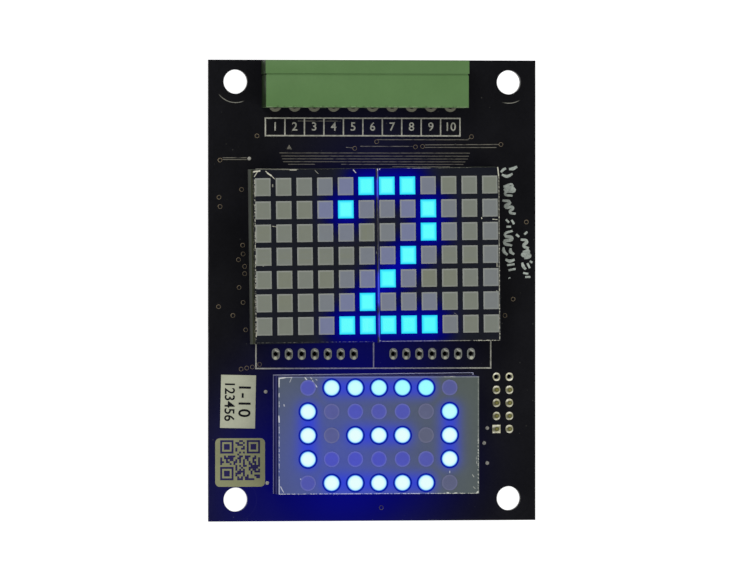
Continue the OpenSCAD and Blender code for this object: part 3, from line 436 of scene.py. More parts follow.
for make_group in (make_place_group, make_grid_group, make_line_group, make_worn_group, make_speck_group,
                   make_spill_group, make_grain_group, make_edge_group):
    make_group()
make_lit_group("digit_light", DIGIT_RUNS, cell_at)
make_lit_group("nought_light", NOUGHT_RUNS, dot_at)


# ---- Materials ----

class Finish(Tree):
    """A material with its Principled shader, and places on it in the board's millimetres."""

    def __init__(self, name, rough=0.5, metal=0.0, specular=0.5):
        self.material = bpy.data.materials.new(name)
        self.material.use_nodes = True
        super().__init__(self.material.node_tree)
        self.shader = self.tree.nodes["Principled BSDF"].inputs
        for key, value in (("Roughness", rough), ("Metallic", metal), ("Specular IOR Level", specular)):
            self.shader[key].default_value = value
        self.object = self.value("ShaderNodeTexCoord", output="Object")
        self.mm = self.use("board_millimetres", Vector=self.object)["Vector"]

    def local(self, centre, turn=0.0):
        """Millimetres from a centre on the board, turned with the piece."""
        inputs = {"Vector": self.object, "Location": (centre.x, centre.y, 0), "Rotation": (0, 0, turn),
                  "Scale": (MM, MM, MM)}
        return self.value("ShaderNodeMapping", inputs, vector_type="TEXTURE")

    def colour(self, value):
        self.put(value, self.shader["Base Color"])

    def rough(self, value):
        self.put(value, self.shader["Roughness"])

    def glow(self, value):
        self.put(value, self.shader["Emission Color"])
        self.shader["Emission Strength"].default_value = 1.0

    def bump(self, height, strength, distance=0.02):
        inputs = {"Height": height, "Strength": strength, "Distance": distance * MM}
        self.put(self.value("ShaderNodeBump", inputs), self.shader["Normal"])

    def facing(self):
        """Which way the surface faces, as three values."""
        return self.split(self.value("ShaderNodeNewGeometry", output="Normal"))

    def tinted(self, colour, tint):
        """A colour made lighter or darker by a factor."""
        grey = self.value("ShaderNodeCombineColor", {0: tint, 1: tint, 2: tint})
        return self.mix(1.0, colour, grey, "MULTIPLY")

    def grain(self, fine, broad, strength, place=None):
        vector = self.mm if place is None else place
        return self.use("surface_grain", Vector=vector, Fine=fine, Broad=broad, Tint_Strength=strength)

    def specks(self, spacing, size, share):
        return self.use("dust_specks", Vector=self.mm, Spacing=spacing, Size=size, Share=share)["Mask"]

    def cells(self, place, pitch_x, pitch_y, shift_x=0.5, shift_y=0.5):
        """Place inside each cell of a grid, and the cell's middle."""
        grid = self.use("cell_grid", Vector=place, Pitch_X=pitch_x, Pitch_Y=pitch_y, Shift_X=shift_x,
                        Shift_Y=shift_y)
        return grid["Inside"], grid["Middle"]

    def worn(self, place, strokes):
        """All the scratches and rubbed lines of a list, as one mask."""
        mask = 0.0
        for x0, y0, x1, y1, width, ragged, strength in strokes:
            mask = self.use("worn_stroke", Mask=mask, Vector=place, Start=(x0, y0, 0), End=(x1, y1, 0),
                            Width=width, Ragged=ragged, Strength=strength)["Mask"]
        return mask


ROUGH_SPREAD = 0.15


def plain_finish(name, colour, rough=0.5, metal=0.0, specular=0.5, fine=4.0, broad=0.15,
                 strength=0.15, bump=0.1):
    """One colour, a little uneven in tone, height and gloss."""
    f = Finish(name, rough, metal, specular)
    grain = f.grain(fine, broad, strength)
    f.colour(f.tinted(colour, grain["Tint"]))
    f.bump(grain["Height"], bump)
    smoothest, roughest = max(rough - ROUGH_SPREAD, 0.05), min(rough + ROUGH_SPREAD, 1)
    f.rough(f.step(grain["Patch"], 0.3, 0.7, smoothest, roughest))
    return f


NIGHT = (0, 0, 0)
MASK_BLACK = (13, 13, 16)
SPILL_BLUE = (0, 3, 215)
DIGIT_BLUE = (0.0, 0.002, 1.0, 1.0)
NOUGHT_BLUE = (0, 0, 255)
WORN_BLACK = (206, 205, 186)
WORN_GREY = (206, 208, 196)
# How far the digit's glow, the nought's glow and the nought's broad bath reach over their faces
DIGIT_REACH = 3.4
NOUGHT_REACH = 2.0
BATH_REACH = 16.0
BATH_MIDDLE = (-8.0, -6.0, 0)


def spilled(f, colour, dim=0.9):
    """Puts the modules' light on a surface: blue glow over a colour that it drowns."""
    spill = f.use("light_spill", Vector=f.mm)["Spill"]
    f.glow(f.tinted(SPILL_BLUE, f.times(spill, 1.4)))
    return f.mix(f.step(spill, 0.02, 0.14, 0.0, dim), colour, NIGHT)


def make_solder_mask():
    """Black solder mask with dust on it, and brown laminate at the board's cut edges."""
    f = Finish("black_solder_mask", rough=0.42, specular=0.03)
    grain = f.grain(2.2, 0.09, 0.9)
    base = f.tinted(f.mix(grain["Patch"], MASK_BLACK, (20, 20, 23)), grain["Tint"])
    base = f.mix(f.times(f.specks(0.8, 0.1, 0.4), 0.24), base, (150, 150, 140))
    side = f.math("SUBTRACT", 1.0, f.size(f.facing()[2]), clamp=True)
    base = f.mix(f.step(side, 0.5, 0.9), base, f.tinted((30, 27, 23), grain["Tint"]))
    f.colour(spilled(f, base))
    f.bump(grain["Height"], 0.12, 0.015)
    f.rough(f.step(grain["Patch"], 0.3, 0.7, 0.36, 0.52))
    return f


def make_trace_mask():
    """Solder mask where it runs over a copper track and catches the light."""
    f = Finish("solder_mask_over_tracks", rough=0.35, specular=0.1)
    x, y, _ = f.split(f.mm)
    broken = f.noise(f.join(f.times(x, 0.5), f.times(y, 3.0)), 1.4, 3.0, 0.7)
    f.colour(spilled(f, f.mix(f.step(broken, 0.32, 0.52), (38, 38, 38), (118, 115, 104))))
    return f


# Print nearer than this to a fixing hole belongs to the ring round it
RING_REACH = 5.0


def make_white_ink():
    """White print, worn; the rings round the fixing holes are nearly as dark as the mask but for the low side
    of the upper two.
    """
    f = Finish("white_board_ink", rough=0.6, specular=0.05)
    worn = f.noise(f.mm, 1.6, 4.0, 0.7)
    ink = f.mix(f.step(worn, 0.35, 0.6), (150, 150, 138), (182, 181, 168))
    x, y, _ = f.split(f.mm)
    ring = f.below(f.from_fixing_hole(x, y), RING_REACH)
    right = f.above(x, 0.0)

    def by_side(on_left, on_right):
        return f.math("MULTIPLY_ADD", right, on_right - on_left, on_left)

    from_hole = f.minus(x, by_side(-MOUNT_X, MOUNT_X))
    down = f.math("MULTIPLY_ADD", from_hole, by_side(-0.26, 0.12), f.times(f.minus(y, MOUNT_Y), -0.97))
    low = f.times(f.step(down, by_side(3.1, 3.55), by_side(3.7, 3.95), 0.0, 0.5), f.above(y, 0.0))
    faint = f.times(ring, f.minus(1.0, low))
    f.colour(spilled(f, f.mix(faint, ink, MASK_BLACK), 0.2))
    return f


def make_spare_tin():
    """Oval pads, tinned by hot air: pale rim, lumpy tin, painted shade in the bore, painted highlights above
    and below it and a painted glint in it.
    """
    f = Finish("spare_pad_tin", rough=0.4, specular=0.15)
    x, y, _ = f.split(f.mm)
    from_middle = f.minus(x, SPARE_X)
    side = f.math("SIGN", from_middle)
    row = f.join(f.minus(from_middle, f.times(side, SPARE_STEP)), 0.0)
    inside, middle = f.cells(row, PIN_PITCH, 10.0)
    across = f.split(inside)[0]
    pad = f.split(middle)[0]
    up = f.minus(y, SPARE_ROW)
    here = f.join(across, up)
    out = f.length(f.join(across, f.most(f.minus(f.size(up), SPARE_PAD_STRAIGHT), 0.0)))
    lumps = f.noise(f.mm, 2.2, 2.0, 0.6)
    # Painted highlights above and below the bore and a painted glint in it; the bore itself is painted dark
    # as shade
    upper = f.use("stroke_distance", Vector=here, Start=(-0.12, 0.78, 0), End=(0.4, 0.5, 0))["Distance"]
    lower = f.distance(here, f.join(f.times(pad, 0.012), -0.78))
    bore = f.length(f.join(f.over(across, 0.52), f.over(up, 0.44)))
    glint = f.distance(here, (0.14, -0.16, 0))
    f.colour(f.coated(
        (110, 114, 108),
        (f.step(out, 0.5, 0.66), (158, 162, 157)),
        (f.step(lumps, 0.35, 0.65, 0.0, 0.3), (176, 176, 160)),
        (f.step(upper, 0.06, 0.22, 0.9, 0.0), (236, 236, 220)),
        (f.step(lower, 0.2, 0.46, 0.95, 0.0), (240, 242, 216)),
        (f.fade(bore, 0.85, 1.1), (8, 8, 9)),
        (f.step(glint, 0.06, 0.16, 0.8, 0.0), (170, 168, 148)),
        (f.step(out, 0.74, 0.79), (16, 16, 20))))
    f.bump(lumps, 0.25, 0.03)
    return f


def make_port_joint(name, metal, rough):
    """Plated pad and its filling: bright at the rim, most of all above and below as a painted highlight,
    olive in the middle, black in the open holes as painted shade.
    """
    f = Finish(name, rough=rough, metal=metal, specular=0.2)
    place = f.local(PORT_CENTRE)
    inside, _ = f.cells(place, PIN_PITCH, PIN_PITCH, 0.0, 0.5)
    radius = f.length(inside)
    x, y, _ = f.split(inside)
    col, row, _ = f.split(place)
    open_row = f.above(row, 1.5 * PIN_PITCH)
    lumps = f.noise(f.mm, 2.2, 2.0, 0.6)
    # Painted highlight: the rim is brighter above and below than at its flanks
    rim = f.mix(f.step(lumps, 0.35, 0.65), (196, 192, 160), (236, 234, 214))
    flank = f.mix(lumps, (138, 135, 104), (170, 168, 140))
    high = f.size(f.plus(y, f.times(x, -0.25)))
    rim = f.mix(f.step(high, 0.2, 0.62), flank, rim)
    middle = f.mix(lumps, (86, 84, 36), (122, 118, 62))
    middle = f.mix(f.step(radius, 0.28, 0.38), middle, (62, 60, 28))
    body = f.mix(f.step(radius, 0.4, 0.5), middle, rim)
    oval = f.length(f.join(f.over(x, 0.74), f.over(y, 0.84)))
    square = f.over(f.most(f.size(x), f.size(y)), PORT_PAD_HALF)
    corner_pad = f.times(f.below(row, -1.5 * PIN_PITCH), f.below(col, 0.0))
    outside = f.plus(f.times(corner_pad, square), f.times(f.minus(1.0, corner_pad), oval))
    body = f.mix(f.step(outside, 0.96, 1.03), body, (15, 15, 18))
    # The open holes of the top row are painted black as shade
    f.colour(f.mix(f.times(open_row, f.fade(radius, 0.42, 0.52)), body, (7, 7, 6)))
    f.bump(lumps, 0.2, 0.05)
    return f


def make_green_plastic():
    """Green moulded plastic: rubbed rear edge, a dashed dark line along it, painted shade on the end walls.
    """
    f = Finish("green_header_plastic", rough=0.5, specular=0.12)
    grain = f.grain(1.6, 0.12, 0.1)
    base = f.tinted(f.mix(grain["Patch"], (84, 117, 69), (92, 125, 77)), grain["Tint"])
    low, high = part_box("terminal_housing")
    half = (high - low) / 2 / MM
    rear_y, top_z = low.y / MM, high.z / MM
    edge = f.use("rubbed_edge", Vector=f.local(flat_middle(low, high)), Half_X=half.x, Half_Y=half.y,
                 Width=0.16, Break=0.42, Scale=0.8)
    x, y, z = f.split(f.mm)
    rubbed = f.times(edge["Mask"], f.below(y, rear_y + 0.5))
    # Painted shade on the end walls, deepest low down
    wall = f.size(f.facing()[0])
    wall_shade = f.times(f.step(wall, 0.3, 0.7), f.step(z, top_z - 1.5, top_z, 0.93, 0.75))
    # Dark dashes along the rear edge
    rear_dashes = f.step(f.noise(f.join(x, 0.0), 0.9, 3.0, 0.7), 0.48, 0.6)
    rear_dashes = f.times(rear_dashes, f.step(y, rear_y + 0.25, rear_y + 0.45, 0.5, 0.0))
    marks = f.times(f.specks(0.45, 0.12, 0.12), 0.3)
    f.colour(f.coated(base, (f.times(rubbed, 0.45), (150, 170, 132)), (wall_shade, (24, 33, 18)),
                      (rear_dashes, (60, 76, 48)), (marks, (64, 92, 52))))
    f.bump(grain["Height"], 0.05, 0.02)
    return f


def wall_tone(f, grain, bands):
    """Side walls of a module, in bands from the board up to the face: (top of the band, colour)."""
    _, _, z = f.split(f.mm)
    wall = bands[0][1]
    for (top, _), (_, colour) in zip(bands, bands[1:]):
        wall = f.mix(f.step(z, top - 0.3, top + 0.3), wall, colour)
    return f.tinted(wall, grain["Tint"])


SEAM_HALF = 0.4


def make_black_face():
    """Black-painted front of the square-cell modules, with their pale body at the sides."""
    f = Finish("black_module_face", rough=0.5, specular=0.015)
    place = f.local(PAIR_CENTRE, PAIR_TURN)
    x, y, _ = f.split(place)
    grain = f.grain(2.0, 0.2, 0.5, place)
    distance = f.use("digit_light", Vector=place)["Distance"]
    blue = f.tinted(DIGIT_BLUE, f.times(f.bell(distance, DIGIT_REACH), 0.31))
    face = f.mix(f.fade(distance, 3.0, 7.0), f.tinted((26, 28, 35), grain["Tint"]), NIGHT)
    # The bare edges along the seam between the two modules, blue where the cells beside them are lit
    high_up = f.step(y, 14.2, 15.4)
    seam = f.fade(f.size(f.minus(x, 0.08)), 0.17, 0.25)
    bare = f.mix(high_up, (72, 72, 78), (116, 118, 122))
    face = f.mix(seam, face, f.tinted(bare, grain["Tint"]))
    lit_seam = f.times(f.fade(distance, 1.4, 2.7), f.minus(1.0, high_up))
    _, _, z = f.split(f.mm)
    from_seam = f.size(x)
    raised = f.math("MULTIPLY_ADD", f.below(from_seam, SEAM_HALF), 0.3, z)
    top = f.step(raised, FACE - 0.05, FACE - 0.02)
    gap = f.times(f.fade(from_seam, SEAM_HALF, 0.5), f.step(z, FACE - 2.6, FACE - 0.8))
    gap_light = f.mix(lit_seam, (44, 44, 54), (46, 54, 190))
    wall_light = f.mix(gap, f.tinted(blue, 0.12), gap_light)
    f.glow(f.mix(top, wall_light, f.mix(f.times(seam, lit_seam), blue, (46, 76, 234))))
    wear = f.worn(place, PAIR_WEAR)
    edge = f.use("rubbed_edge", Vector=place, Half_X=PAIR_HALF_X, Half_Y=PAIR_HALF_Y, Width=0.12, Break=0.5,
                 Scale=1.1)
    face = f.mix(f.most(wear, f.times(edge["Mask"], 0.4)), face, WORN_BLACK)
    # The side walls: the body's pale plastic, painted darker towards the face as shade
    side = wall_tone(f, grain, ((2.4, (112, 114, 108)), (6.0, (96, 100, 93)), (8.2, (60, 64, 48)),
                                (9.6, (34, 36, 30))))
    side = f.mix(f.times(f.specks(0.7, 0.14, 0.3), 0.5), side, (150, 148, 138))
    # A thin ragged band of bare plastic on the walls, just under the face
    ragged = f.noise(f.join(f.times(x, 1.5), f.times(y, 1.5), z), 1.0, 3.0, 0.75)
    cut = f.times(f.step(z, FACE - 0.9, FACE - 0.5), f.step(ragged, 0.5, 0.6, 0.0, 0.8))
    side = f.mix(cut, side, (176, 176, 148))
    f.colour(f.mix(top, side, face))
    f.bump(grain["Height"], 0.1)
    return f


def dot_fields(f):
    """What the round-dot module's finishes need: place, middle of the dot, distance from it."""
    place = f.local(LOWER_CENTRE)
    inside, middle = f.cells(place, DOT_PITCH, DOT_PITCH)
    return place, middle, f.length(inside)


def make_grey_face():
    """Grey front of the round-dot module, bathed in its own light."""
    f = Finish("grey_module_face", rough=0.5, specular=0.015)
    place, middle, radius = dot_fields(f)
    _, y, _ = f.split(place)
    grain = f.grain(1.5, 0.15, 0.12, place)
    bath = f.bell(f.distance(f.flat(place), BATH_MIDDLE), BATH_REACH)
    base = f.tinted(f.mix(bath, (88, 96, 90), (78, 90, 92)), grain["Tint"])
    blue = f.tinted(NOUGHT_BLUE, f.times(bath, 0.25))
    near = f.use("nought_light", Vector=place)["Distance"]
    soft = f.times(f.bell(near, NOUGHT_REACH), 0.7)
    blue = f.mix(soft, blue, (20, 46, 228))
    lit = f.below(f.use("nought_light", Vector=middle)["Distance"], 0.5)
    ring = f.times(lit, f.fade(radius, DOT_R + 0.24, DOT_R + 0.42))
    blue = f.mix(ring, blue, (0, 22, 156))
    _, _, z = f.split(f.mm)
    top = f.step(z, FACE - 0.3, FACE - 0.25)
    f.glow(f.mix(top, f.tinted(blue, 0.1), blue))
    face = f.mix(f.most(f.times(soft, 0.85), ring), base, NIGHT)
    # A light rubbed line runs under the top edge, and the edge itself lies in shade
    rubbed = f.step(y, LOWER_HALF_Y - 0.38, LOWER_HALF_Y - 0.3, 0.0, 0.32)
    face = f.mix(rubbed, face, (156, 160, 190))
    lip = f.step(y, LOWER_HALF_Y - 0.16, LOWER_HALF_Y - 0.08, 0.0, 0.85)
    face = f.mix(lip, face, (30, 28, 60))
    face = f.mix(f.worn(place, LOWER_WEAR), face, WORN_GREY)
    # The side walls: pale low down, then bands of painted shade up to the face
    side = wall_tone(f, grain, ((2.9, (176, 176, 208)), (5.8, (26, 24, 78)), (6.9, (92, 94, 152)),
                                (9.6, (36, 38, 78))))
    side = f.mix(f.times(f.specks(0.7, 0.14, 0.3), 0.4), side, (150, 150, 170))
    f.colour(f.mix(top, side, face))
    f.bump(grain["Height"], 0.06)
    return f


def cell_fields(f):
    """What both cell resins need: place, the cell's middle, place inside it, distance in from its edge."""
    place = f.local(PAIR_CENTRE, PAIR_TURN)
    inside, middle = f.cells(place, CELL_X, CELL_Y, 0.0, 0.5)
    x, y, _ = f.split(inside)
    edge = f.least(f.minus(CELL_W / 2, f.size(x)), f.minus(CELL_H / 2, f.size(y)))
    return place, middle, inside, edge


def make_lit_cells():
    f = Finish("lit_cell_resin", rough=0.35, specular=0.05)
    _, centre, _, edge = cell_fields(f)
    _, row, _ = f.split(centre)
    cool = f.mix(f.step(row, -13.0, -12.0), (58, 248, 250), (76, 253, 252))
    middle = f.mix(f.random(centre), cool, (112, 255, 254))
    f.colour(NIGHT)
    f.glow(f.mix(f.step(edge, 0.0, 0.7), (36, 218, 255), middle))
    return f


def make_dark_cells():
    f = Finish("dark_cell_resin", rough=0.45, specular=0.1)
    place, centre, inside, edge = cell_fields(f)
    # The lit cells shine through their walls, more to the left than to the other sides
    leaning = f.vmath("ADD", centre, (1.3, 0, 0))
    distance = f.use("digit_light", Vector=leaning)["Distance"]
    near = f.step(distance, 2.7, 6.6, 0.95, 0.0, smooth=False)
    body = f.mix(f.random(centre), (122, 126, 110), (121, 126, 121))
    col, row, _ = f.split(centre)
    end = f.times(f.step(col, 20.0, 21.0), f.step(f.size(row), 10.0, 11.0, 0.6, 0.0))
    x, y, _ = f.split(inside)
    # Painted highlight round the rim of each cell, stronger towards its upper left
    rim = f.times(f.fade(edge, 0.1, 0.42), f.step(f.minus(y, x), -1.0, 1.0, 0.45, 0.8))
    body = f.coated(body, (end, (120, 124, 131)), (near, (118, 124, 157)), (rim, (152, 155, 149)))
    f.colour(f.tinted(body, f.grain(1.4, 0.4, 0.08, place)["Tint"]))
    return f


def make_lit_dots():
    f = Finish("lit_dot_resin", rough=0.35, specular=0.05)
    _, centre, radius = dot_fields(f)
    x, y, _ = f.split(centre)
    cool = f.times(f.step(y, 2.0, 9.0), f.step(x, -11.0, 10.0, 0.25, 1.0))
    cool = f.most(cool, f.times(f.step(y, 3.0, 4.0), f.step(x, 12.0, 13.0, 0.0, 0.55)))
    middle = f.mix(cool, (228, 253, 252), (156, 254, 254))
    rim = f.mix(0.5, middle, (150, 238, 255))
    colour = f.mix(f.step(radius, 0.8, DOT_R - 0.1), middle, rim)
    f.colour(NIGHT)
    f.glow(f.mix(f.step(radius, DOT_R - 0.24, DOT_R - 0.06), colour, (60, 130, 235)))
    return f


# How much of their neighbours' light the unlit dots catch: column, row, share
DARK_DOT_TONES = [
    (0, 0, 0.70), (6, 0, 0.36), (1, 1, 0.38), (2, 1, 0.80), (3, 1, 0.66), (4, 1, 0.70), (5, 1, 0.08),
    (1, 2, 0.30), (5, 2, 0.03), (1, 3, 0.92), (2, 3, 0.95), (3, 3, 0.91), (4, 3, 0.81), (5, 3, 0.62),
    (0, 4, 0.66), (6, 4, 0.08),
]


def make_dark_dots():
    """Unlit dots, tinted by how much of their neighbours' light reaches them."""
    f = Finish("dark_dot_resin", rough=0.45, specular=0.05)
    place, centre, radius = dot_fields(f)
    share = 0.0
    for col, row, tone in DARK_DOT_TONES:
        here = f.below(f.distance(centre, dot_at(col, row)), 0.5)
        share = f.math("MULTIPLY_ADD", here, tone, share)
    body = f.mix(share, (96, 100, 120), (77, 83, 200))
    pale = f.mix(share, (114, 116, 142), (112, 120, 196))
    rim = f.step(radius, DOT_R - 0.4, DOT_R - 0.15)
    body = f.mix(f.times(rim, 0.55), body, pale)
    f.colour(f.tinted(body, f.grain(1.4, 0.4, 0.15, place)["Tint"]))
    return f


def make_label_stock(name, colour, pale):
    """Paper stuck on the board, with a paler cut edge and faint soiling."""
    f = Finish(name, rough=0.85, specular=0.05)
    fibre = f.noise(f.mm, 3.0, 4.0, 0.6)
    soil = f.noise(f.mm, 0.25, 2.0, 0.5)
    body = f.mix(f.step(soil, 0.3, 0.7, 0.0, 0.35), colour, f.mix(0.35, colour, (90, 88, 70)))
    body = f.tinted(body, f.step(fibre, 0.2, 0.8, 0.92, 1.06, smooth=False))
    f.colour(f.mix(f.fade(f.facing()[2], 0.4, 0.9), body, pale))
    return f


FINISHES = {
    "solder_mask": make_solder_mask,
    "white_ink": make_white_ink,
    "spare_pad_tin": make_spare_tin,
    "green_plastic": make_green_plastic,
    "black_module_face": make_black_face,
    "grey_module_face": make_grey_face,
    "lit_cell_resin": make_lit_cells,
    "dark_cell_resin": make_dark_cells,
    "lit_dot_resin": make_lit_dots,
    "dark_dot_resin": make_dark_dots,
    "port_pad_tin": lambda: make_port_joint("port_pad_tin", 0.3, 0.4),
    "port_solder": lambda: make_port_joint("port_solder", 0.2, 0.5),
    "track_mask": make_trace_mask,
    "cream_paper": lambda: make_label_stock("cream_paper", (184, 187, 165), (215, 217, 210)),
    "grey_label": lambda: make_label_stock("grey_label", (142, 144, 110), (160, 160, 140)),
}
PLAIN_FINISHES = {
    "via_copper": dict(colour=(112, 98, 80), rough=0.4, metal=0.7, broad=0.3, strength=0.8),
    "tinned_pads": dict(colour=(118, 118, 101), rough=0.45, metal=0.3, specular=0.2, strength=0.5),
    "via_ring": dict(colour=(120, 108, 88), specular=0.1, fine=1.5, broad=0.3, strength=1.6),
    "module_foot": dict(colour=(200, 203, 232), specular=0.1, strength=0.6),
    "filled_via": dict(colour=(158, 156, 146), rough=0.4, specular=0.3, fine=2.0, strength=0.8),
    "pattern_ink": dict(colour=(42, 38, 82), rough=0.6, specular=0.05, strength=0.5),
    "tinned_pins": dict(colour=(186, 182, 170), rough=0.3, metal=0.95),
    "gold_pins": dict(colour=(150, 132, 62), rough=0.3, metal=0.95),
    "solder": dict(colour=(176, 177, 178), rough=0.25, metal=0.95, fine=1.5, bump=0.3),
    "black_plastic": dict(colour=(22, 22, 23), specular=0.25),
    "label_ink": dict(colour=(20, 20, 24), rough=0.6, specular=0.05),
    "marker_ink": dict(colour=(172, 180, 172), rough=0.6, specular=0.1, fine=2.2, strength=1.3),
    "module_laminate": dict(colour=(196, 186, 140), specular=0.3),
    "led_chips": dict(colour=(150, 180, 205), rough=0.3),
    "chip_epoxy": dict(colour=(30, 30, 32), rough=0.55, specular=0.25, fine=6.0),
    "tinned_leads": dict(colour=(184, 184, 182), rough=0.3, metal=0.95),
    "crystal_steel": dict(colour=(190, 191, 192), rough=0.28, metal=0.95),
    "can_aluminium": dict(colour=(196, 198, 200), rough=0.25, metal=0.95),
    "ferrite": dict(colour=(44, 44, 46), rough=0.6, specular=0.3),
    "resistor_film": dict(colour=(26, 26, 28), rough=0.4),
    "capacitor_ceramic": dict(colour=(150, 122, 88)),
}
MATERIALS = {name: make().material for name, make in FINISHES.items()}
MATERIALS.update({name: plain_finish(name, **values).material for name, values in PLAIN_FINISHES.items()})

# Nodes that don't wear their own slot's finish: the port's pins and solder share one that goes by
# their place in the pad, and the header's solder looks like its pads
NODE_FINISH = {"port_solder": "port_solder", "port_pins": "port_solder", "terminal_solder": "tinned_pads"}

for name, obj in NODES.items():
    obj.data.materials.clear()
    obj.data.materials.append(MATERIALS[NODE_FINISH.get(name, SLOT_OF[name])])


# ---- Making pieces ----

def new_object(name, data):
    obj = bpy.data.objects.new(name, data)
    bpy.context.collection.objects.link(obj)
    return obj


def deselect():
    if bpy.context.object and bpy.context.object.mode != "OBJECT":
        bpy.ops.object.mode_set(mode="OBJECT")
    bpy.ops.object.select_all(action="DESELECT")


def pick(obj):
    deselect()
    obj.select_set(True)
    bpy.context.view_layer.objects.active = obj


def keep_place(obj):
    """Puts the object's place, turn and scale into its mesh."""
    pick(obj)
    bpy.ops.object.transform_apply(location=True, rotation=True, scale=True)


def smoothed(angle):
    bpy.ops.object.shade_smooth_by_angle(angle=math.radians(angle))


def dress(obj, name, slot, finish=None):
    """Names a piece and gives it a finish: the one given, or else the one that its slot names."""
    obj.name = obj.data.name = name
    obj.data.materials.clear()
    obj.data.materials.append(MATERIALS[finish or slot])
    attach(obj, "root")
    return obj


def joined(objects):
    deselect()
    for obj in objects:
        obj.select_set(True)
    bpy.context.view_layer.objects.active = objects[0]
    if len(objects) > 1:
        bpy.ops.object.join()
    return bpy.context.view_layer.objects.active


def copies(obj, places):
    """The piece at every place of a list, each with its own mesh, as one object."""
    pieces = []
    for x, y in places:
        copy = obj.copy()
        copy.data = obj.data.copy()
        copy.data.transform(Matrix.Translation(Vector((x, y, 0)) * MM))
        bpy.context.collection.objects.link(copy)
        pieces.append(copy)
    bpy.data.objects.remove(obj, do_unlink=True)
    return joined(pieces)


def softened(node, width):
    """A CAD node with its sharp edges eased, standing for the node."""
    obj = new_object(node + "_eased", NODES[node].data.copy())
    pick(obj)
    bpy.ops.object.mode_set(mode="EDIT")
    bpy.ops.mesh.select_all(action="SELECT")
    bpy.ops.mesh.remove_doubles(threshold=0.001 * MM)
    bpy.ops.mesh.dissolve_limited(angle_limit=math.radians(1.0))
    bpy.ops.object.mode_set(mode="OBJECT")
    bevel = obj.modifiers.new("eased_edges", "BEVEL")
    bevel.width = width * MM
    bevel.segments = 2
    bevel.limit_method = "ANGLE"
    bevel.angle_limit = math.radians(35)
    bevel.use_clamp_overlap = True
    bpy.ops.object.modifier_apply(modifier=bevel.name)
    smoothed(40)
    dress(obj, node + "_eased", SLOT_OF[node])
    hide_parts(node)


def strokes_piece(name, lines, width, height, z, slot, finish=None, smooth=True):
    """Drawn lines as low rounded ridges: each line is a list of places in millimetres."""
    curve = bpy.data.curves.new(name, "CURVE")
    curve.dimensions = "3D"
    curve.bevel_depth = width / 2 * MM
    curve.bevel_resolution = 2
    curve.resolution_u = 6
    curve.use_fill_caps = True
    for line in lines:
        spline = curve.splines.new("BEZIER" if smooth else "POLY")
        if smooth:
            spline.bezier_points.add(len(line) - 1)
            for point, (x, y) in zip(spline.bezier_points, line):
                point.co = Vector((x, y, 0)) * MM
                point.handle_left_type = point.handle_right_type = "AUTO"
                # The pen's pressure varies from point to point, and eases at both ends
                point.radius = 0.85 + 0.35 * abs(math.sin(7.3 * x + 3.1 * y))
            spline.bezier_points[0].radius = spline.bezier_points[-1].radius = 0.72
        else:
            spline.points.add(len(line) - 1)
            for point, (x, y) in zip(spline.points, line):
                point.co = (x * MM, y * MM, 0, 1)
    pick(new_object(name, curve))
    bpy.ops.object.convert(target="MESH")
    obj = bpy.context.object
    obj.scale.z = 2 * height / width
    obj.location.z = z * MM
    keep_place(obj)
    smoothed(50)
    return dress(obj, name, slot, finish)


PRINT_THICK = 0.02


def number(text, size, x, y, z, turn=0.0, stretch=1.0, bold=0.0, spread=1.0):
    """One printed number, its middle at a place on the board."""
    bpy.ops.object.text_add()
    obj = bpy.context.object
    obj.data.body = text
    obj.data.size = size * MM
    obj.data.align_x = obj.data.align_y = "CENTER"
    obj.data.resolution_u = 4
    obj.data.offset = bold * MM
    obj.data.space_character = spread
    obj.data.extrude = PRINT_THICK / 2 * MM
    pick(obj)
    bpy.ops.object.convert(target="MESH")
    obj = bpy.context.object
    obj.location = Vector((x, y, z + PRINT_THICK / 2)) * MM
    obj.rotation_euler.z = math.radians(turn)
    obj.scale.x = stretch
    keep_place(obj)
    return obj


# ---- Eased housings and rear parts ----

# Widths of the eased edges, in millimetres
EASED_EDGES = {"terminal_housing": 0.12, "lower_matrix_housing": 0.08, "left_matrix_housing": 0.06,
               "right_matrix_housing": 0.06, "port_base": 0.08, "capacitor_bases": 0.1,
               "crystal_can": 0.25, "inductor_core": 0.15}
for node, width in EASED_EDGES.items():
    softened(node, width)


# ---- Print, labels and marker ----

INK_Z = FRONT_Z / MM
POLE_PITCH = 3.81
POLES = 10
HEADER_X = -1.9
BOX_Y = 31.75
BOX_NUMBER_SIZE = 2.3
POLE_PLACES = [HEADER_X + (k - (POLES - 1) / 2) * POLE_PITCH for k in range(POLES)]

numbers = [number(str(k + 1), BOX_NUMBER_SIZE, x, BOX_Y, INK_Z, bold=0.02)
           for k, x in enumerate(POLE_PLACES)]
dress(joined(numbers), "box_numbers", "white_ink")

paper_low, paper_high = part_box("paper_label")
PAPER = (paper_low + paper_high) / 2 / MM
PAPER_TOP = paper_high.z / MM
PAPER_TURN = -91.2
rows = [number("1-10", 3.3, PAPER.x + 1.15, PAPER.y + 0.25, PAPER_TOP, PAPER_TURN, bold=0.05, spread=1.12),
        number("123456", 2.75, PAPER.x - 1.75, PAPER.y + 0.1, PAPER_TOP, PAPER_TURN, stretch=0.95, bold=0.04)]
label_numbers = dress(joined(rows), "label_numbers", "label_ink")
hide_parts("paper_label_print")

# The square label's pattern: cells to a side, share of the label's width, and its shift upwards
PATTERN_CELLS = 21
PATTERN_SHARE = 0.8
PATTERN_LIFT = 0.45
CORNER_CELLS = 7
DARK_SHARE = 0.52


def scrambled(col, row):
    """A fixed value from 0 to 1 for each cell of the pattern, in no order that can be read."""
    wave = (col // 2 * 1.7 + col * 0.9) * 12.9898 + (row // 2 * 2.3 + row) * 78.233
    value = math.sin(wave) * 43758.5453
    return value - math.floor(value)


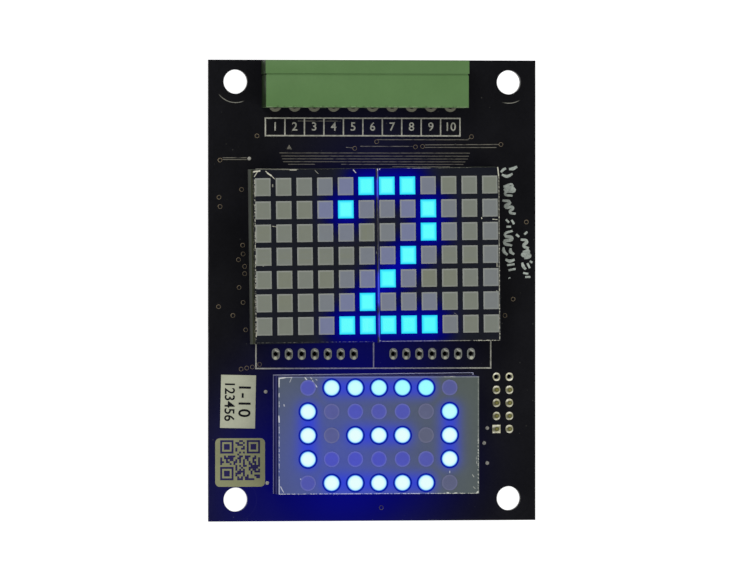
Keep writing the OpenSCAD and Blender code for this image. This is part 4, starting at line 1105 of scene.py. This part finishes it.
def make_square_pattern():
    """Squares in three corners, and blocks between them that a formula sets out."""
    low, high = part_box("square_label")
    middle = (low + high) / 2 / MM
    top = high.z / MM
    cell = (high.x - low.x) / MM * PATTERN_SHARE / PATTERN_CELLS

    def block(w, h, x, y):
        bpy.ops.mesh.primitive_cube_add(size=MM)
        obj = bpy.context.object
        obj.scale = (w, h, PRINT_THICK)
        obj.location = Vector((middle.x + x, middle.y + y + PATTERN_LIFT, top + PRINT_THICK / 2)) * MM
        keep_place(obj)
        return obj

    parts = []
    corner = (PATTERN_CELLS - CORNER_CELLS) / 2 * cell
    for x, y in ((-corner, corner), (corner, corner), (-corner, -corner)):
        parts.append(block(3 * cell, 3 * cell, x, y))
        for side in (-3 * cell, 3 * cell):
            parts.append(block(CORNER_CELLS * cell, cell, x, y + side))
            parts.append(block(cell, (CORNER_CELLS - 2) * cell, x + side, y))
    near, far = CORNER_CELLS + 1, PATTERN_CELLS - CORNER_CELLS - 1
    for row in range(PATTERN_CELLS):
        run = 0
        for col in range(PATTERN_CELLS + 1):
            framed = (row >= far and (col < near or col >= far)) or (row < near and col < near)
            if col < PATTERN_CELLS and not framed and scrambled(col, row) < DARK_SHARE:
                run += 1
            elif run:
                x = (col - run / 2 - PATTERN_CELLS / 2) * cell
                parts.append(block(run * cell, 0.98 * cell, x, (row + 0.5 - PATTERN_CELLS / 2) * cell))
                run = 0
    pattern = dress(joined(parts), "square_label_pattern", "label_ink", "pattern_ink")
    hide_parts("square_label_print")


make_square_pattern()

# Marker: dashes, crescents and zigzags down the right edge
MARKER_WIDTH = 0.56
MARKER_LINES = [
    [(28.4, 24.1), (27.6, 23.7), (26.8, 23.6)], [(26.2, 23.8), (25.7, 23.5), (25.2, 23.0)],
    [(25.4, 22.5), (26.4, 22.2), (27.5, 22.7)],
    [(25.7, 20.2), (27.5, 20.4), (26.0, 19.6), (27.9, 19.6), (26.0, 18.9), (27.5, 18.4)],
    [(25.5, 17.5), (26.9, 17.1), (26.1, 16.3), (27.6, 16.1), (27.0, 15.3), (28.1, 14.9)],
    [(26.2, 13.8), (26.8, 13.2)], [(27.3, 13.7), (27.8, 12.9)], [(26.3, 12.4), (27.2, 12.4)],
    [(27.5, 11.6), (26.0, 10.8), (27.4, 10.1), (25.9, 9.4), (27.4, 8.7)],
    [(25.7, 8.4), (25.8, 7.6), (26.5, 6.9)], [(27.1, 8.2), (27.1, 7.6), (27.8, 7.0)],
    [(26.1, 6.0), (27.0, 5.7), (27.9, 6.0)], [(26.4, 4.9), (27.9, 5.1)], [(26.7, 3.9), (28.1, 4.2)],
    [(26.8, 2.5), (26.9, 2.3)], [(28.2, 10.9), (28.8, 10.4)], [(29.8, 10.9), (30.4, 11.4)],
    [(29.1, 9.9), (30.3, 9.5), (29.7, 8.7), (30.7, 8.2)],
    [(29.5, 7.5), (30.7, 7.6), (29.4, 6.9), (30.9, 6.8), (29.8, 6.2)],
    [(29.4, 5.4), (29.6, 4.7), (30.1, 4.1)], [(30.4, 5.3), (30.9, 4.3)], [(30.9, 5.7), (31.4, 5.4)],
    [(29.6, 3.4), (30.6, 3.2)], [(30.0, 2.6), (31.0, 2.6)],
]
marker = strokes_piece("marker_lines", MARKER_LINES, MARKER_WIDTH, 0.05, INK_Z + 0.01, "marker_ink")
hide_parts("marker_strokes")

# The lower module's foot, which stands out a little past its upper wall
FOOT_LINE = [(-19.45, -16.42), (19.7, -16.02), (19.7, -16.5)]
strokes_piece("module_foot", [FOOT_LINE], 0.24, 0.2, INK_Z, "grey_module_face", "module_foot", smooth=False)

# Tracks under the solder mask: start and end of each run, in millimetres
TRACK_WIDTH = 0.14
TRACKS = [
    (-18.2, 26.7, 19.1, 26.7), (-17.9, 26.1, 18.9, 26.1), (-17.7, 25.55, 18.7, 25.55),
    (-17.5, 25, 18.2, 25), (-6.1, 24.5, 17.8, 24.5), (-16.5, 24.5, -11.3, 24.5), (3.9, 24.05, 15.2, 24.05),
    (0.9, 29.3, 18.7, 29.3), (-2.4, 28, 7.8, 28), (-5.2, 27.8, -3.9, 27.7), (10.3, 28.3, 25, 28.4),
    (10.3, 27.8, 24.3, 27.8), (-29.3, 25.75, -24.6, 25.75), (-29.3, 25.4, -24.6, 25.4),
    (-14.6, 32.9, -6.2, 32.9), (18.7, 29.3, 19.2, 29.7),
]
track_lines = [[(x0, y0), (x1, y1)] for x0, y0, x1, y1 in TRACKS]
strokes_piece("board_tracks", track_lines, TRACK_WIDTH, 0.02, INK_Z - 0.002, "solder_mask", "track_mask",
              smooth=False)

ARROW_X, ARROW_Y, ARROW_R = -16.3, 27.7, 0.6
deselect()
bpy.ops.mesh.primitive_cylinder_add(vertices=3, radius=ARROW_R * MM, depth=PRINT_THICK * MM,
                                    location=(ARROW_X * MM, ARROW_Y * MM, (INK_Z + PRINT_THICK / 2) * MM))
arrow = bpy.context.object
keep_place(arrow)
dress(arrow, "printed_arrow", "white_ink", "track_mask")


# ---- Vias ----

# No vertex of a via lies further from its middle than this
VIA_REACH = 0.6
BEAD_R = 0.36
RING_R, RING_THICKNESS = 0.37, 0.12
CAP_R, CAP_RIM, CAP_THICKNESS = 0.34, 0.12, 0.04


def islands(mesh):
    """Middle of each separate shape in a mesh, from its vertices' places."""
    middles = []
    for vertex in mesh.vertices:
        x, y = vertex.co.x / MM, vertex.co.y / MM
        for sums in middles:
            if abs(sums[0] / sums[2] - x) < VIA_REACH and abs(sums[1] / sums[2] - y) < VIA_REACH:
                sums[0] += x
                sums[1] += y
                sums[2] += 1
                break
        else:
            middles.append([x, y, 1])
    return [(round(x / count, 3), round(y / count, 3)) for x, y, count in middles]


_, via_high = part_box("vias")
VIA_TOP = via_high.z
VIA_PLACES = islands(NODES["vias"].data)


def nearest_via(x, y):
    return min(VIA_PLACES, key=lambda place: math.dist(place, (x, y)))


def flattened(share):
    """The new shape, pressed flat about its own middle, and smooth."""
    obj = bpy.context.object
    obj.scale.z = share
    keep_place(obj)
    smoothed(60)
    return obj


# Vias whose bores are closed with tin
FILLED_VIAS = [nearest_via(x, y) for x, y in ((-24.1, 25.6), (-21.2, -19.6), (-20.2, -37.3), (22.4, -33.5),
                                              (22.3, -26.6), (21.7, -29.6))]
OPEN_VIAS = [place for place in VIA_PLACES if place not in FILLED_VIAS]

deselect()
bpy.ops.mesh.primitive_uv_sphere_add(segments=16, ring_count=8, radius=BEAD_R * MM, location=(0, 0, VIA_TOP))
dress(copies(flattened(0.2), FILLED_VIAS), "filled_vias", "via_copper", "filled_via")

deselect()
bpy.ops.mesh.primitive_torus_add(major_radius=RING_R * MM, minor_radius=RING_THICKNESS / 2 * MM,
                                 major_segments=20, minor_segments=6, location=(0, 0, VIA_TOP - 0.02 * MM))
dress(copies(flattened(0.5), OPEN_VIAS), "via_rings", "via_copper", "via_ring")

deselect()
bpy.ops.mesh.primitive_cylinder_add(vertices=16, radius=CAP_R * MM, depth=CAP_THICKNESS * MM,
                                    location=(0, 0, VIA_TOP + 0.01 * MM))
cap = bpy.context.object
keep_place(cap)
bpy.ops.object.mode_set(mode="EDIT")
bpy.ops.mesh.select_mode(type="FACE")
bpy.ops.mesh.select_all(action="DESELECT")
bpy.ops.object.mode_set(mode="OBJECT")
for face in cap.data.polygons:
    face.select = face.normal.z > 0.9
bpy.ops.object.mode_set(mode="EDIT")
bpy.ops.mesh.inset(thickness=CAP_RIM * MM, depth=-0.015 * MM)
bpy.ops.object.mode_set(mode="OBJECT")
dress(copies(cap, OPEN_VIAS), "via_caps", "solder_mask")


# ---- Floor, lamps and camera ----

# A sight line through a hole in the board lands this far to the right of it on the floor
SIGHT_SHIFT = 1.3
SPARE_FIELD_HALF = 3.5 * PIN_PITCH
FLOOR_SIZE = 4.0
FLOOR_GAP = 0.1 * MM


def floor_light(t):
    """Two values over the floor: its whiteness, and one that falls to nought in spots of deep shade."""
    place = t.value("ShaderNodeTexCoord", output="Object")
    x, y, _ = t.split(t.use("board_millimetres", Vector=place)["Vector"])
    # White round the board and behind its fixing holes, soft shade behind its middle
    outside = t.most(t.minus(t.size(x), BOARD_HALF_X - 0.5), t.minus(t.size(y), BOARD_HALF_Y - 0.5))
    hole = t.fade(t.from_fixing_hole(x, y), MOUNT_R + 1.5, MOUNT_R + 6.0)
    bright = t.most(t.step(outside, -8.0, -1.0), hole)
    # Deep shade just where a sight line through an open plated hole lands
    seen_x = t.minus(x, SIGHT_SHIFT)
    across = t.minus(t.size(t.minus(seen_x, SPARE_X)), SPARE_STEP)
    column = t.math("WRAP", across, PIN_PITCH / 2, -PIN_PITCH / 2)
    beyond = t.most(t.minus(t.size(across), SPARE_FIELD_HALF), 0.0)
    spare = t.length(t.join(column, t.minus(y, SPARE_ROW), beyond))
    port_x = t.minus(t.size(t.minus(seen_x, PORT_CENTRE.x / MM)), PIN_PITCH / 2)
    port = t.length(t.join(port_x, t.minus(y, PORT_HIGH.y / MM - PORT_PAD_HALF)))
    clear_of_spots = t.times(t.step(spare, 0.5, 0.8), t.step(port, 0.5, 0.85))
    return t.times(bright, clear_of_spots), clear_of_spots


def make_floor():
    deselect()
    bpy.ops.mesh.primitive_plane_add(size=FLOOR_SIZE, location=(0, 0, cad_low.z - FLOOR_GAP))
    floor = bpy.context.active_object
    floor.name = "pale_floor"
    material = bpy.data.materials.new("pale_floor")
    material.use_nodes = True
    nodes = material.node_tree.nodes
    nodes.remove(nodes["Principled BSDF"])
    t = Tree(material.node_tree)
    bright, clear_of_spots = floor_light(t)
    pale = t.value("ShaderNodeBsdfDiffuse", {"Color": (0.8, 0.8, 0.8, 1)})
    grey = t.times(clear_of_spots, 0.3)
    shaded = t.value("ShaderNodeBsdfDiffuse", {"Color": t.join(grey, grey, grey)})
    strength = t.plus(t.times(bright, 0.86), t.times(clear_of_spots, 0.09))
    shine = t.value("ShaderNodeEmission", {"Color": (1, 1, 1, 1), "Strength": strength})
    seen = t.value("ShaderNodeAddShader", {0: shaded, 1: shine})
    lit = t.value("ShaderNodeMixShader", {0: t.seen_ray(), 1: pale, 2: seen})
    # From below, the floor is clear
    under = t.value("ShaderNodeNewGeometry", output="Backfacing")
    surface = t.value("ShaderNodeMixShader", {0: under, 1: lit, 2: t.value("ShaderNodeBsdfTransparent")})
    t.put(surface, nodes["Material Output"].inputs["Surface"])
    floor.data.materials.append(material)


def make_world():
    """White all round: full strength where it is seen, half strength where it only lights."""
    world = bpy.data.worlds.new("white_studio")
    world.use_nodes = True
    bpy.context.scene.world = world
    t = Tree(world.node_tree)
    back = world.node_tree.nodes["Background"].inputs
    back["Color"].default_value = (1, 1, 1, 1)
    t.put(t.plus(t.times(t.seen_ray(), 0.5), 0.5), back["Strength"])


def add_lamp(name, place, size, power):
    """A soft square lamp that faces the middle of the board, placed and sized in millimetres."""
    data = bpy.data.lights.new(name, "AREA")
    data.size = size * MM
    data.energy = power
    lamp = new_object(name, data)
    lamp.location = Vector(place) * MM
    lamp.rotation_euler = (-lamp.location).to_track_quat("-Z", "Y").to_euler()


# The camera stands well in front, a little to the left and above the board's middle
VIEW_LEFT = math.radians(7.5)
VIEW_UP = math.radians(0.5)
VIEW_DISTANCE = 1.4
VIEW_WIDTH = 144.9 * MM
SENSOR_WIDTH = 36
AIM = Vector((0.09 * MM, 0.10 * MM, FRONT_Z))


def make_camera():
    data = bpy.data.cameras.new("camera")
    data.sensor_width = SENSOR_WIDTH
    data.lens = SENSOR_WIDTH * VIEW_DISTANCE / VIEW_WIDTH
    data.clip_start, data.clip_end = 0.05, 20
    camera = new_object("camera", data)
    back = Vector((-math.sin(VIEW_LEFT) * math.cos(VIEW_UP), math.sin(VIEW_UP),
                   math.cos(VIEW_LEFT) * math.cos(VIEW_UP)))
    camera.location = AIM + back * VIEW_DISTANCE
    z = back.normalized()
    x = Vector((0, 1, 0)).cross(z).normalized()
    y = z.cross(x)
    camera.rotation_mode = "QUATERNION"
    camera.rotation_quaternion = Matrix((x, y, z)).transposed().to_quaternion()
    bpy.context.scene.camera = camera


make_floor()
make_world()
add_lamp("key_lamp", (-300, 420, 700), 300, 2.6)
add_lamp("fill_lamp", (420, -260, 620), 400, 1.3)
make_camera()
bpy.context.scene.view_settings.view_transform = "Standard"
